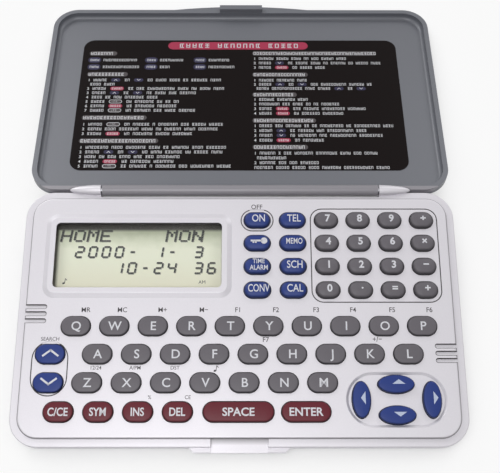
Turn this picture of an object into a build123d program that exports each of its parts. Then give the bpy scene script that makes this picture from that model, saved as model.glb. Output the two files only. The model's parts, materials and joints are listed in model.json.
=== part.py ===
from build123d import *
from math import cos, sin, radians
import os

os.makedirs("parts", exist_ok=True)

# Pocket organizer with a hinged lid, in millimetres, drawn open as it stands on a table.
# The underside of the base is the plane z = 0, +X is the user's right and +Y points to the hinge.
# The base is a wedge: the keyboard face slopes down to the front. Sizes on that face are given as
# x, v and n: v is the distance from the hinge axis (negative towards the user), n the height above it.

# Case
case_corner_radius = 8.0
face_slope = 5.0             # degrees that the keyboard face falls towards the front
rim_drop = 0.3               # rim below the hinge axis
rim_width = 2.15             # lowered border round the keyboard deck
deck_height = 0.7            # deck above the hinge axis
deck_wall = 1.3
side_wall = 2.6
parting_depth = 3.0          # joint between top and bottom case below the hinge axis
hinge_edge_gap = 0.6         # back edge of the rim in front of the hinge axis, beside the barrel
edge_round = 0.3
deck_edge_round = 0.6
draft_inset = 1.1            # how far the bottom case draws in over its reference height
draft_height = 10.0
bottom_wall = 1.8
floor_thickness = 1.4
bottom_edge_radius = 1.2

# Lid
lid_front_gap = 0.05         # far edge of the shut lid behind the front edge of the case
lid_thickness = 3.6
lid_past_flat = 12.4         # degrees that the open lid leans past the plane of the keyboard face
lid_recess_depth = 2.35
lid_recess_round = 1.3       # between the floor and the wall of the recess
lid_lip_width = 1.5
lid_near_gap = 0.3           # near edge of the lid shell from the hinge axis
lid_edge_radius = 1.4
table_clearance = 0.2
bow_width = 45.0
bow_rise = 1.45
bow_thickness = 2.2
catch_width = 14.2
catch_depth = 1.9
catch_height = 1.5
catch_window_width = 4.5
card_left_margin = 10.5
card_right_margin = 11.1
card_near_edge = 8.95        # from the hinge axis
card_far_margin = 11.9       # from the far edge of the lid
card_corner_radius = 3.6
card_thickness = 0.12
card_gap = 0.02

# Hinge
barrel_radius = 1.6
hinge_side_inset = 21.9      # end of the barrel from the side of the case
barrel_gap = 0.4             # to the case and to the ears
ear_length = 9.2
pin_radius = 0.7
pin_length = 8.4
pin_play = 0.05

# Latch notch and finger ledge at the front
notch_width = 15.6
notch_clearance = 0.45       # round the catch when the lid is shut
notch_floor = 1.9
ledge_width = 27.1
ledge_reach = 1.25
ledge_drop = 1.7             # top of the ledge below the hinge axis
ledge_end_chamfer = 1.1

# Keys
key_gap = 0.2                # round a cap in its hole
key_flange = 0.55            # how far the flange stands out past the cap
flange_thickness = 0.8
flange_play = 0.15
key_rise = 0.85              # top of a letter key above the deck
tall_key_rise = 1.35         # top of a number or mode key above the deck
key_travel = 0.6
cap_round = 0.5
dome_round = 1.1             # softer edge on the taller keys
letter_pitch = 10.76
letter_row_pitch = 7.93
letter_key_width = 8.2
letter_key_height = 5.5
top_row_left = 16.7          # first key of the top letter row from the left side of the case
top_row_right = 11.46        # last key of the top letter row from the right side of the case
home_row_shift = 6.43        # first key of each lower row to the right of the top row's
low_row_shift = 3.99
red_row_shift = -3.28
search_shift = -6.58
space_width = 19.3
space_gap = 2.78             # between the delete key and the space key
enter_width = 13.4
enter_gap = 2.02
number_back_inset = 9.78     # back row of number keys from the hinge axis
number_side_inset = 9.78     # last column of number keys from the right side of the case
number_pitch = 9.23
number_row_pitch = 7.02
number_to_letters = 10.49    # front row of number keys to the top letter row
number_key_width = 6.8
number_key_height = 4.9
letters_front_inset = 9.28   # row of red keys from the front edge of the rim
mode_to_numbers = 9.79       # last mode column to the first number column
mode_pitch = 10.27
mode_key_width = 7.6
mode_key_height = 4.8
arrow_side_inset = 19.64     # middle of the arrow keys from the right side of the case
arrow_row_rise = 3.32        # middle of the arrow keys behind the row of red keys
arrow_side_offset = 9.65
arrow_vertical_offset = 4.19
arrow_long_radius = 5.0
arrow_short_radius = 2.52

# Marks pressed into the deck
dish_width = 27.7
dish_height = 15.1
dish_depth = 0.5
dish_slope = 55.0            # degrees that the wall of the dish leans from upright
groove_width = 0.3
groove_depth = 0.15
number_frame_width = 37.1
number_frame_height = 28.5
number_frame_radius = 3.5
ring_offset = 1.0
grip_length = 6.0            # from the edge of the deck to the rounded inner end
grip_height = 1.15
grip_pitch = 2.03
grip_depth = 0.55
left_grip_shift = 3.63       # middle of the left grip behind the top letter row
right_grip_shift = 0.26      # middle of the right grip behind the home row

# Display
window_side_inset = 9.4      # window from the left side of the case
window_to_modes = 10.17      # window to the middle of the first mode column
window_shift = -0.19         # middle of the window from the middle of the number keys
window_height = 19.5
window_corner_radius = 1.3
bezel_margin = 2.9
bezel_rise = 0.75
bezel_slope = 62.0           # degrees that the border leans in from upright
bezel_radius = 3.4
lens_overlap = 1.1
lens_thickness = 0.6
glass_thickness = 0.75
contact_ledge = 2.4
display_gap = 0.08
holder_wall = 1.8
strip_margin = 0.24          # contact strip inside the ledge of the glass

# Board, rubber mat and what they carry
mat_thickness = 0.6
mat_margin = 1.6
dome_base_radius = 1.9
dome_top_radius = 1.3
dome_gap = 0.05
dome_spare = 0.45            # height that a pressed dome keeps
board_thickness = 1.0
board_gap = 0.6
chip_radius = 6.0
small_chip_radius = 4.8
chip_height = 1.1
chip_round = 1.0
chip_x = 22.0                # chips to both sides of the middle
chip_behind_home = 7.26      # chips and crystal behind the home row
crystal_radius = 1.0
crystal_length = 6.0
crystal_round = 0.2
crystal_behind_home = 2.26

# Screws
screw_radius = 0.85
screw_head_radius = 1.6
screw_head_height = 1.0
screw_length = 4.9
screw_seat_depth = 6.5       # underside of the head below the hinge axis
boss_radius = 2.0
post_radius = 2.8
thread_play = 0.02
screw_clearance = 0.15
bore_end = 0.2               # deck left over the end of a screw bore
drive_length = 1.9           # cross recess in the head
drive_width = 0.5
back_screw_side_inset = 15.0
back_screw_inset = 4.6       # from the hinge axis
front_screw_side_inset = 6.3
front_screw_inset = 6.0      # from the front edge of the rim
rest_back_inset = 38.0       # board rests from the hinge axis
rest_front_inset = 13.4      # board rests from the front edge
rest_x = (-40.0, 2.0, -20.0, 16.0)

# Coin cell compartment under the back of the base
cell_radius = 10.0
cell_thickness = 2.5
cell_play = 0.2
bay_spacing = 24.0
bay_back_inset = 17.6        # centre of the cells from the hinge axis
bay_wall = 1.8
bay_roof = 0.7
cap_radius = 8.8             # raised middle of the cell
cap_height = 0.5
cell_gap = 0.05              # cell to the contact over it
contact_board_gap = 0.02
ridge_pitch = 2.4            # grooves for the thumb in the cover
ridge_length = 16.0
ridge_width = 1.2
cover_gap = 0.1
cover_tongue = 0.8
tongue_thickness = 0.5
contact_thickness = 0.2
contact_width = 4.0
buzzer_radius = 9.0
buzzer_thickness = 0.5
ceramic_radius = 6.3
ceramic_thickness = 0.25
buzzer_side_inset = 24.5
buzzer_behind_home = 5.26
sound_hole_radius = 0.6
sound_hole_count = 6
sound_ring_radius = 4.0

# Sizes of the case and the lid: the keyboard and its margins, then what fits on them
case_width = top_row_left + 9 * letter_pitch + top_row_right
case_depth = (number_back_inset + 3 * number_row_pitch + number_to_letters + 3 * letter_row_pitch
              + letters_front_inset)
case_half = case_width / 2
lid_length = case_depth - lid_front_gap
barrel_length = case_width - 2 * hinge_side_inset
card_width = case_width - card_left_margin - card_right_margin
card_x = (card_left_margin - card_right_margin) / 2
card_height = lid_length - card_near_edge - card_far_margin

# Planes that follow from the sizes
lid_slope = lid_past_flat - face_slope
hinge_height = (lid_length * sin(radians(lid_slope)) + lid_thickness * cos(radians(lid_slope))
                + table_clearance)
hinge_y = case_depth * cos(radians(face_slope)) / 2
hinge_point = (0, hinge_y, hinge_height)
FACE = Plane(hinge_point, x_dir=(1, 0, 0),
             z_dir=(0, -sin(radians(face_slope)), cos(radians(face_slope))))
LID = Plane(hinge_point, x_dir=(1, 0, 0),
            z_dir=(0, sin(radians(lid_slope)), cos(radians(lid_slope))))
UP = Axis(hinge_point, FACE.z_dir)

deck_under = deck_height - deck_wall
flange_top = deck_under - flange_play
flange_bottom = flange_top - flange_thickness
dome_top = flange_bottom - dome_gap
board_top = dome_top - (key_travel + dome_spare) - mat_thickness
mat_top = board_top + mat_thickness
board_bottom = board_top - board_thickness
back_edge = -barrel_radius - barrel_gap          # case behind the barrel
cavity_back = back_edge - side_wall
cavity_front = -case_depth + side_wall
cavity_half = case_half - side_wall
back_screw_x = case_half - back_screw_side_inset
front_screw_x = case_half - front_screw_side_inset
front_screw_v = -case_depth + front_screw_inset
screw_places = [(-back_screw_x, -back_screw_inset), (back_screw_x, -back_screw_inset),
                (-front_screw_x, front_screw_v), (front_screw_x, front_screw_v)]
number_x = case_half - number_side_inset - 3 * number_pitch
number_rows_v = [-number_back_inset - i * number_row_pitch for i in range(4)]
number_centre = (number_x + 1.5 * number_pitch, number_rows_v[0] - 1.5 * number_row_pitch)
letter_top_v = number_rows_v[3] - number_to_letters
letter_rows_v = [letter_top_v - i * letter_row_pitch for i in range(4)]
top_letter_x = top_row_left - case_half
home_letter_x = top_letter_x + home_row_shift
low_letter_x = top_letter_x + low_row_shift
red_key_x = top_letter_x + red_row_shift
search_x = top_letter_x + search_shift
delete_edge = red_key_x + 3 * letter_pitch + letter_key_width / 2
space_x = delete_edge + space_gap + space_width / 2
enter_x = space_x + space_width / 2 + enter_gap + enter_width / 2
mode_x = number_x - mode_to_numbers - mode_pitch
arrow_x = case_half - arrow_side_inset
arrow_v = letter_rows_v[3] + arrow_row_rise
window_left = window_side_inset - case_half
window_right = mode_x - window_to_modes
window_width = window_right - window_left
window_x = (window_left + window_right) / 2
window_v = number_centre[1] + window_shift
buzzer_x = case_half - buzzer_side_inset
buzzer_v = letter_rows_v[1] + buzzer_behind_home
rest_places = list(zip(rest_x, (-rest_back_inset, -rest_back_inset,
                                rest_front_inset - case_depth, rest_front_inset - case_depth)))


def oval(width, height):
    """Outline with straight long sides and round ends, drawn in the open sketch."""
    SlotOverall(width, height)


def ellipse(width, height):
    """Elliptical outline of the same overall width and height."""
    Ellipse(width / 2, height / 2)


def row(first_x, v, pitch, count):
    """Centres of a row of keys."""
    return [(first_x + i * pitch, v) for i in range(count)]


# Every key node: name, outline, width, height, rise over the deck, edge round and cap centres
top_row = row(top_letter_x, letter_rows_v[0], letter_pitch, 10)
home_row = row(home_letter_x, letter_rows_v[1], letter_pitch, 9)
low_row = row(low_letter_x, letter_rows_v[2], letter_pitch, 7)
red_row = row(red_key_x, letter_rows_v[3], letter_pitch, 4)
keys = [
    ("letter_keys_top", oval, letter_key_width, letter_key_height, key_rise, cap_round, top_row),
    ("letter_keys_home", oval, letter_key_width, letter_key_height, key_rise, cap_round, home_row),
    ("letter_keys_low", oval, letter_key_width, letter_key_height, key_rise, cap_round, low_row),
]
for name, centre in zip(("key_clear", "key_symbol", "key_insert", "key_delete"), red_row):
    keys.append((name, oval, letter_key_width, letter_key_height, key_rise, cap_round, [centre]))
keys.append(("key_space", oval, space_width, letter_key_height, key_rise, cap_round,
             [(space_x, letter_rows_v[3])]))
keys.append(("key_enter", oval, enter_width, letter_key_height, key_rise, cap_round,
             [(enter_x, letter_rows_v[3])]))
for name, v in (("key_search_up", letter_rows_v[1]), ("key_search_down", letter_rows_v[2])):
    keys.append((name, oval, letter_key_width, letter_key_height, key_rise, cap_round,
                 [(search_x, v)]))
mode_names = (("key_on", "key_telephone"), ("key_lock", "key_memo"),
              ("key_time", "key_schedule"), ("key_currency", "key_calculator"))
for names, v in zip(mode_names, number_rows_v):
    for i, name in enumerate(names):
        keys.append((name, oval, mode_key_width, mode_key_height, tall_key_rise, dome_round,
                     [(mode_x + i * mode_pitch, v)]))
number_names = (("key_7", "key_8", "key_9", "key_divide"), ("key_4", "key_5", "key_6", "key_multiply"),
                ("key_1", "key_2", "key_3", "key_minus"), ("key_0", "key_point", "key_equals", "key_plus"))
for names, v in zip(number_names, number_rows_v):
    for i, name in enumerate(names):
        keys.append((name, oval, number_key_width, number_key_height, tall_key_rise, dome_round,
                     [(number_x + i * number_pitch, v)]))
arrow_long, arrow_short = 2 * arrow_long_radius, 2 * arrow_short_radius
for name, dx, dv, width, height in (
        ("key_arrow_left", -arrow_side_offset, 0, arrow_short, arrow_long),
        ("key_arrow_right", arrow_side_offset, 0, arrow_short, arrow_long),
        ("key_arrow_up", 0, arrow_vertical_offset, arrow_long, arrow_short),
        ("key_arrow_down", 0, -arrow_vertical_offset, arrow_long, arrow_short)):
    keys.append((name, ellipse, width, height, key_rise, cap_round, [(arrow_x + dx, arrow_v + dv)]))


def outline(shape, width, height, grow=0.0):
    """One key outline grown all round by the same amount; a tall oval is turned upright."""
    shape(width + 2 * grow, height + 2 * grow)


def case_outline(inset, back, radius):
    """Rounded rectangle of the case, drawn in by an inset, with its own back edge."""
    front = -case_depth + inset
    with Locations((0, (back + front) / 2)):
        RectangleRounded(case_width - 2 * inset, back - front, radius)


def export(part, name):
    """Label one finished piece and write its STEP file."""
    part.label = name
    export_step(part, f"parts/{name}.step")


# Top case: rim, raised deck, hinge ears, latch notch and ledge, key holes and marks
with BuildPart() as top_case:
    with BuildSketch(FACE.offset(-parting_depth)):
        case_outline(0, -hinge_edge_gap, case_corner_radius)
    extrude(amount=parting_depth - rim_drop)
    fillet(top_case.faces().sort_by(UP)[-1].edges(), edge_round)
    with BuildSketch(FACE.offset(-rim_drop)):
        case_outline(rim_width, -hinge_edge_gap - rim_width, case_corner_radius - rim_width)
    extrude(amount=rim_drop + deck_height)
    fillet(top_case.faces().sort_by(UP)[-1].edges(), deck_edge_round)
    # ear knuckles on both sides of the barrel, each a quarter ellipse turned about the hinge axis
    for side in (-1, 1):
        start = side * (barrel_length / 2 + barrel_gap)
        with BuildSketch(FACE.offset(0)):
            with BuildLine():
                tip = (start + side * ear_length, 0)
                shoulder = (start, barrel_radius)
                Line((start, 0), shoulder)
                EllipticalCenterArc((start, 0), ear_length, barrel_radius,
                                    start_angle=0 if side > 0 else 90, arc_size=90)
                Line(tip, (start, 0))
            make_face()
        revolve(axis=Axis(hinge_point, (1, 0, 0)))
    # room for the barrel between the ears
    with BuildSketch(FACE.offset(-parting_depth)):
        with Locations((0, back_edge / 2 + barrel_radius)):
            Rectangle(barrel_length + 2 * barrel_gap, 2 * barrel_radius - back_edge)
    extrude(amount=parting_depth + deck_height + barrel_radius, mode=Mode.SUBTRACT)
    # pin bores in the ears
    for side in (-1, 1):
        start = side * (barrel_length / 2 + barrel_gap)
        with BuildSketch(Plane(hinge_point, z_dir=(1, 0, 0)).offset(start)):
            Circle(pin_radius + thread_play)
        extrude(amount=side * pin_length / 2, mode=Mode.SUBTRACT)
    # finger ledge below the rim at the front
    with BuildSketch(FACE.offset(-parting_depth)):
        with Locations((0, -case_depth)):
            Rectangle(ledge_width, 2 * ledge_reach)
            chamfer(vertices().group_by(Axis.Y)[0], ledge_end_chamfer)
    extrude(amount=parting_depth - ledge_drop)
    # raised border of the display, with the window through it
    with BuildSketch(FACE.offset(deck_height)):
        with Locations((window_x, window_v)):
            RectangleRounded(window_width + 2 * bezel_margin, window_height + 2 * bezel_margin,
                             bezel_radius)
    extrude(amount=bezel_rise, taper=bezel_slope)
    fillet(top_case.faces().sort_by(UP)[-1].edges(), edge_round)
    # hollow inside
    with BuildSketch(FACE.offset(-parting_depth)):
        with Locations((0, (cavity_back + cavity_front) / 2)):
            RectangleRounded(2 * cavity_half, cavity_back - cavity_front,
                             case_corner_radius - side_wall)
    extrude(amount=parting_depth + deck_under, mode=Mode.SUBTRACT)
    with BuildSketch(FACE.offset(deck_under)):
        with Locations((window_x, window_v)):
            RectangleRounded(window_width, window_height, window_corner_radius)
    extrude(amount=deck_wall + bezel_rise, mode=Mode.SUBTRACT)
    # dish round the arrow keys
    with BuildSketch(FACE.offset(deck_height)):
        with Locations((arrow_x, arrow_v)):
            SlotOverall(dish_width, dish_height)
    extrude(amount=-dish_depth, taper=dish_slope, mode=Mode.SUBTRACT)
    # key holes
    with BuildSketch(FACE.offset(deck_under)):
        for name, shape, width, height, rise, edge, centres in keys:
            with Locations(*centres):
                outline(shape, width, height, key_gap)
    extrude(amount=deck_wall, mode=Mode.SUBTRACT)
    # fine grooves: frame round the number keys, rings round the on key and the search keys
    with BuildSketch(FACE.offset(deck_height)):
        for grow, mode in ((0, Mode.ADD), (-groove_width, Mode.SUBTRACT)):
            with Locations(number_centre):
                RectangleRounded(number_frame_width + 2 * grow, number_frame_height + 2 * grow,
                                 number_frame_radius + grow, mode=mode)
        for grow, mode in ((0, Mode.ADD), (-groove_width, Mode.SUBTRACT)):
            with Locations((mode_x, number_rows_v[0])):
                SlotOverall(mode_key_width + 2 * (ring_offset + grow),
                            mode_key_height + 2 * (ring_offset + grow), mode=mode)
        for grow, mode in ((0, Mode.ADD), (-groove_width, Mode.SUBTRACT)):
            with Locations((search_x, (letter_rows_v[1] + letter_rows_v[2]) / 2)):
                SlotOverall(letter_key_height + letter_row_pitch + 2 * (ring_offset + grow),
                            letter_key_width + 2 * (ring_offset + grow), rotation=90, mode=mode)
    extrude(amount=-groove_depth, mode=Mode.SUBTRACT)
    # finger grips cut in from both edges of the deck
    deck_half = case_half - rim_width
    grips = ((-1, letter_rows_v[0] + left_grip_shift), (1, letter_rows_v[1] + right_grip_shift))
    with BuildSketch(FACE.offset(deck_height)):
        for side, middle in grips:
            for i in (-1, 0, 1):
                with Locations((side * deck_half, middle + i * grip_pitch)):
                    SlotOverall(2 * grip_length, grip_height)
    extrude(amount=-grip_depth, mode=Mode.SUBTRACT)
    # screw bosses
    with BuildSketch(FACE.offset(board_bottom)):
        with Locations(*screw_places):
            Circle(boss_radius)
    extrude(until=Until.NEXT)
    with BuildSketch(FACE.offset(board_bottom)):
        with Locations(*screw_places):
            Circle(screw_radius + thread_play)
    extrude(amount=deck_under - board_bottom - bore_end, mode=Mode.SUBTRACT)
    # latch notch: upright back wall and a floor that falls to the ledge
    notch_back = -(lid_length - catch_depth) + notch_clearance
    with BuildSketch(Plane(FACE.origin, x_dir=FACE.y_dir, z_dir=(1, 0, 0))):
        with BuildLine():
            Polyline((notch_back, deck_height), (notch_back, -notch_floor),
                     (-case_depth - ledge_reach, -notch_floor - ledge_reach / 2),
                     (-case_depth - 2 * ledge_reach, -notch_floor - ledge_reach / 2),
                     (-case_depth - 2 * ledge_reach, deck_height), close=True)
        make_face()
    extrude(amount=notch_width / 2, both=True, mode=Mode.SUBTRACT)

export(top_case.part, "top_case")

# Outside of the bottom case: drawn in towards the table and cut level
with BuildPart() as base_block:
    for depth, inset in ((0, 0), (draft_height, draft_inset), (2 * draft_height, 2 * draft_inset)):
        with BuildSketch(FACE.offset(-parting_depth - depth)):
            case_outline(inset, -hinge_edge_gap - inset, case_corner_radius - inset)
    loft(ruled=True)
    split(bisect_by=Plane.XY, keep=Keep.TOP)
    fillet(base_block.faces().sort_by(Axis.Z)[0].edges(), bottom_edge_radius)

# Space inside the bottom case, down to the level floor
with BuildPart() as base_cavity:
    for depth, inset in ((0, bottom_wall), (2 * draft_height, bottom_wall + 2 * draft_inset)):
        with BuildSketch(FACE.offset(-parting_depth - depth)):
            case_outline(inset, back_edge - inset, case_corner_radius - inset)
    loft(ruled=True)
    split(bisect_by=Plane.XY.offset(floor_thickness), keep=Keep.TOP)

# Posts for the screws and rests for the board, inside the outer form
with BuildPart() as base_posts:
    with BuildSketch(FACE.offset(board_bottom - screw_clearance)):
        with Locations(*screw_places):
            Circle(post_radius)
        with Locations(*rest_places):
            Circle(boss_radius)
    extrude(amount=-hinge_height)
    add(base_block.part, mode=Mode.INTERSECT)

# Coin cell bays: a block with two round pockets open to the cover below
bay_y = hinge_y - bay_back_inset
bay_half_width = bay_spacing / 2 + cell_radius + cell_play + bay_wall
bay_front = bay_y - cell_radius - cell_play - bay_wall
bay_back = bay_y + cell_radius + cell_play + bay_wall
bay_ceiling = floor_thickness + cell_thickness + 3 * cover_gap
bay_centres = [(-bay_spacing / 2, bay_y), (bay_spacing / 2, bay_y)]
contact_slot = 1.5 * contact_width

with BuildPart() as bottom_case:
    add(base_block.part)
    add(base_cavity.part, mode=Mode.SUBTRACT)
    add(base_posts.part)
    # room behind for the hinge barrel
    with BuildSketch(FACE.offset(-parting_depth)):
        with Locations((0, (back_edge + barrel_radius) / 2)):
            Rectangle(barrel_length + 2 * barrel_gap, barrel_radius - back_edge)
    extrude(amount=-hinge_height, mode=Mode.SUBTRACT)
    # bay block, joined to the floor beside and in front of the opening for the cover
    with BuildSketch(Plane.XY.offset(floor_thickness / 2)):
        with Locations((0, (bay_front - bay_wall + bay_back) / 2)):
            Rectangle(2 * (bay_half_width + cover_tongue + bay_wall), bay_back - bay_front + bay_wall)
    extrude(amount=bay_ceiling + bay_roof - floor_thickness / 2)
    with BuildSketch(Plane.XY):
        with Locations(*bay_centres):
            Circle(cell_radius + cell_play)
    extrude(amount=bay_ceiling, mode=Mode.SUBTRACT)
    # slots for the contacts, in the roof and in the front wall of each bay
    with BuildSketch(Plane.XY.offset(floor_thickness)):
        with Locations(*bay_centres):
            Rectangle(contact_slot, contact_slot)
        with Locations(*[(x, bay_front + bay_wall - contact_width / 4) for x, y in bay_centres]):
            Rectangle(contact_width + 2 * cover_gap, contact_width / 2)
    extrude(amount=bay_ceiling + bay_roof, mode=Mode.SUBTRACT)
    # opening for the cover, out through the back edge, with a groove on each side
    with BuildSketch(Plane.XY):
        with Locations((0, bay_front)):
            Rectangle(2 * bay_half_width + 2 * cover_gap, case_depth,
                      align=(Align.CENTER, Align.MIN))
    extrude(amount=floor_thickness + cover_gap, mode=Mode.SUBTRACT)
    with BuildSketch(Plane.XY.offset(tongue_thickness - cover_gap)):
        with Locations((0, bay_front)):
            Rectangle(2 * (bay_half_width + cover_tongue + 2 * cover_gap), case_depth,
                      align=(Align.CENTER, Align.MIN))
    extrude(amount=tongue_thickness + 2 * cover_gap, mode=Mode.SUBTRACT)
    # room for the bosses of the top case, which reach down between the walls
    with BuildSketch(FACE.offset(board_bottom - screw_clearance)):
        with Locations(*screw_places):
            Circle(boss_radius + screw_clearance)
    extrude(amount=parting_depth - board_bottom, mode=Mode.SUBTRACT)
    # screw holes with deep seats for the heads
    with BuildSketch(FACE.offset(board_bottom)):
        with Locations(*screw_places):
            Circle(screw_radius + screw_clearance)
    extrude(amount=-hinge_height, mode=Mode.SUBTRACT)
    with BuildSketch(FACE.offset(-screw_seat_depth)):
        with Locations(*screw_places):
            Circle(screw_head_radius + screw_clearance)
    extrude(amount=-hinge_height, mode=Mode.SUBTRACT)
    # sound holes under the buzzer
    buzzer_y = hinge_y + buzzer_v
    with BuildSketch(Plane.XY):
        with Locations((buzzer_x, buzzer_y)):
            with PolarLocations(sound_ring_radius, sound_hole_count):
                Circle(sound_hole_radius)
            Circle(sound_hole_radius)
    extrude(amount=floor_thickness, mode=Mode.SUBTRACT)

export(bottom_case.part, "bottom_case")

# Battery cover: the piece of the case's own outer form that slides out to the back
with BuildPart() as battery_cover:
    with BuildSketch(Plane.XY):
        with Locations((0, bay_front + cover_gap)):
            Rectangle(2 * bay_half_width, case_depth, align=(Align.CENTER, Align.MIN))
    extrude(amount=floor_thickness)
    with BuildSketch(Plane.XY.offset(tongue_thickness)):
        with Locations((0, bay_front + cover_gap)):
            Rectangle(2 * (bay_half_width + cover_tongue), bay_back - bay_front,
                      align=(Align.CENTER, Align.MIN))
    extrude(amount=tongue_thickness)
    add(base_block.part, mode=Mode.INTERSECT)
    with BuildSketch(FACE.offset(-parting_depth)):
        with Locations((0, (back_edge + barrel_radius) / 2)):
            Rectangle(barrel_length + 2 * barrel_gap, barrel_radius - back_edge)
    extrude(amount=-hinge_height, mode=Mode.SUBTRACT)
    # thumb ridges are left by three shallow grooves
    with BuildSketch(Plane.XY):
        with Locations((0, bay_y)):
            with GridLocations(0, ridge_pitch, 1, 3):
                SlotOverall(ridge_length, ridge_width)
    extrude(amount=tongue_thickness, mode=Mode.SUBTRACT)

export(battery_cover.part, "battery_cover")

# Coin cell in the left bay: can and smaller cap
with BuildPart() as coin_cell:
    with BuildSketch(Plane.XY.offset(floor_thickness + cover_gap)):
        with Locations(bay_centres[0]):
            Circle(cell_radius)
    extrude(amount=cell_thickness - cap_height)
    with BuildSketch(Plane.XY.offset(floor_thickness + cover_gap + cell_thickness - cap_height)):
        with Locations(bay_centres[0]):
            Circle(cap_radius)
    extrude(amount=cap_height)

export(coin_cell.part, "coin_cell")

# Battery contacts: a bent strip on top of each bay and an upright strip at its rim, up to the board
contact_level = floor_thickness + cover_gap + cell_thickness + cell_gap
with BuildPart() as battery_contacts:
    with BuildSketch(Plane.XY.offset(contact_level)):
        with Locations(*bay_centres):
            Rectangle(contact_width, contact_width)
    extrude(amount=contact_thickness)
    with BuildSketch(Plane.XY.offset(contact_level)):
        for x, y in bay_centres:
            with Locations((x, y - contact_width / 2 + contact_thickness / 2)):
                Rectangle(contact_width, contact_thickness)
            with Locations((x, y - cell_radius - cell_play - contact_thickness)):
                Rectangle(contact_width, contact_thickness)
    extrude(amount=hinge_height)
    with BuildSketch(Plane.XY.offset(floor_thickness + cell_thickness / 2)):
        for x, y in bay_centres:
            with Locations((x, y - cell_radius - cell_play - contact_thickness)):
                Rectangle(contact_width, contact_thickness)
    extrude(amount=cell_thickness)
    split(bisect_by=FACE.offset(board_bottom - contact_board_gap), keep=Keep.BOTTOM)

export(battery_contacts.part, "battery_contacts")

# Buzzer disc on the floor
with BuildPart() as buzzer_disc:
    with BuildSketch(Plane.XY.offset(floor_thickness)):
        with Locations((buzzer_x, buzzer_y)):
            Circle(buzzer_radius)
    extrude(amount=buzzer_thickness)
    with BuildSketch(Plane.XY.offset(floor_thickness + buzzer_thickness)):
        with Locations((buzzer_x, buzzer_y)):
            Circle(ceramic_radius)
    extrude(amount=ceramic_thickness)

export(buzzer_disc.part, "buzzer_disc")

# Case screws with pan heads, from below into the bosses of the top case
with BuildPart() as case_screws:
    with BuildSketch(FACE.offset(-screw_seat_depth)):
        with Locations(*screw_places):
            Circle(screw_radius)
    extrude(amount=screw_length)
    with BuildSketch(FACE.offset(-screw_seat_depth)):
        with Locations(*screw_places):
            Circle(screw_head_radius)
    extrude(amount=-screw_head_height)
    with BuildSketch(FACE.offset(-screw_seat_depth - screw_head_height)):
        with Locations(*screw_places):
            for turn in (0, 90):
                Rectangle(drive_length, drive_width, rotation=turn)
    extrude(amount=screw_head_height / 2, mode=Mode.SUBTRACT)

export(case_screws.part, "case_screws")

# Circuit board with notches round the screw bosses
with BuildPart() as circuit_board:
    with BuildSketch(FACE.offset(board_bottom)):
        board_back = cavity_back - board_gap
        board_front = cavity_front + board_gap
        with Locations((0, (board_back + board_front) / 2)):
            RectangleRounded(2 * (cavity_half - board_gap), board_back - board_front,
                             case_corner_radius - side_wall - board_gap)
        with Locations(*screw_places):
            Circle(boss_radius + board_gap, mode=Mode.SUBTRACT)
    extrude(amount=board_thickness)

export(circuit_board.part, "circuit_board")

# Sealed chips under the board, each a round drop with a soft edge
with BuildPart() as board_chips:
    with BuildSketch(FACE.offset(board_bottom)):
        for x, radius in ((-chip_x, chip_radius), (chip_x, small_chip_radius)):
            with Locations((x, letter_rows_v[1] + chip_behind_home)):
                Circle(radius)
    extrude(amount=-chip_height)
    fillet(board_chips.faces().group_by(UP)[0].edges(), chip_round)

export(board_chips.part, "board_chips")

# Clock crystal, a small can lying under the board
with BuildPart() as clock_crystal:
    crystal_place = FACE.offset(board_bottom - crystal_radius).from_local_coords(
        (0, letter_rows_v[1] + crystal_behind_home, 0))
    with BuildSketch(Plane(crystal_place, x_dir=FACE.y_dir, z_dir=(1, 0, 0))):
        Circle(crystal_radius)
    extrude(amount=crystal_length)
    fillet(clock_crystal.edges(), crystal_round)

export(clock_crystal.part, "clock_crystal")

# Rubber mat: one sheet with a dome under every key, two under the space bar
def dome_places(width, centres):
    """Centres of the domes under caps of one width."""
    if width > 2 * letter_key_width:
        return [(x + side * width / 4, v) for x, v in centres for side in (-1, 1)]
    return centres


letter_zone_top = letter_rows_v[0] + letter_key_height / 2 + mat_margin
number_zone_left = mode_x - mode_key_width / 2 - mat_margin / 2
dome_centres = [c for key in keys for c in dome_places(key[2], key[6])]
with BuildPart(FACE.offset(mat_top)) as mat_domes:
    with Locations(*dome_centres):
        Cone(dome_base_radius, dome_top_radius, dome_top - mat_top,
             align=(Align.CENTER, Align.CENTER, Align.MIN))

with BuildPart() as keypad_mat:
    with BuildSketch(FACE.offset(board_top)):
        mat_front = cavity_front + board_gap
        mat_back = cavity_back - board_gap
        mat_half = cavity_half - board_gap
        with Locations((0, mat_front)):
            Rectangle(2 * mat_half, letter_zone_top - mat_front, align=(Align.CENTER, Align.MIN))
        with Locations((number_zone_left, mat_front)):
            Rectangle(mat_half - number_zone_left, mat_back - mat_front,
                      align=(Align.MIN, Align.MIN))
        fillet(vertices().filter_by(lambda corner: abs(corner.X) > mat_half - edge_round),
               case_corner_radius - side_wall - board_gap)
        with Locations(*screw_places):
            Circle(boss_radius + board_gap, mode=Mode.SUBTRACT)
    extrude(amount=mat_thickness)
    add(mat_domes.part)

export(keypad_mat.part, "keypad_mat")


def make_keys(shape, width, height, rise, edge, centres):
    """Caps of one key node: a flange under the deck and a cap with a rounded top edge."""
    with BuildPart() as caps:
        with BuildSketch(FACE.offset(flange_bottom)):
            with Locations(*centres):
                outline(shape, width, height, key_flange)
        extrude(amount=flange_thickness)
        with BuildSketch(FACE.offset(flange_bottom)):
            with Locations(*centres):
                outline(shape, width, height)
        extrude(amount=deck_height + rise - flange_bottom)
        fillet(caps.faces().group_by(UP)[-1].edges(), edge)
    return caps.part


for name, shape, width, height, rise, edge, centres in keys:
    export(make_keys(shape, width, height, rise, edge, centres), name)

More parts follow.
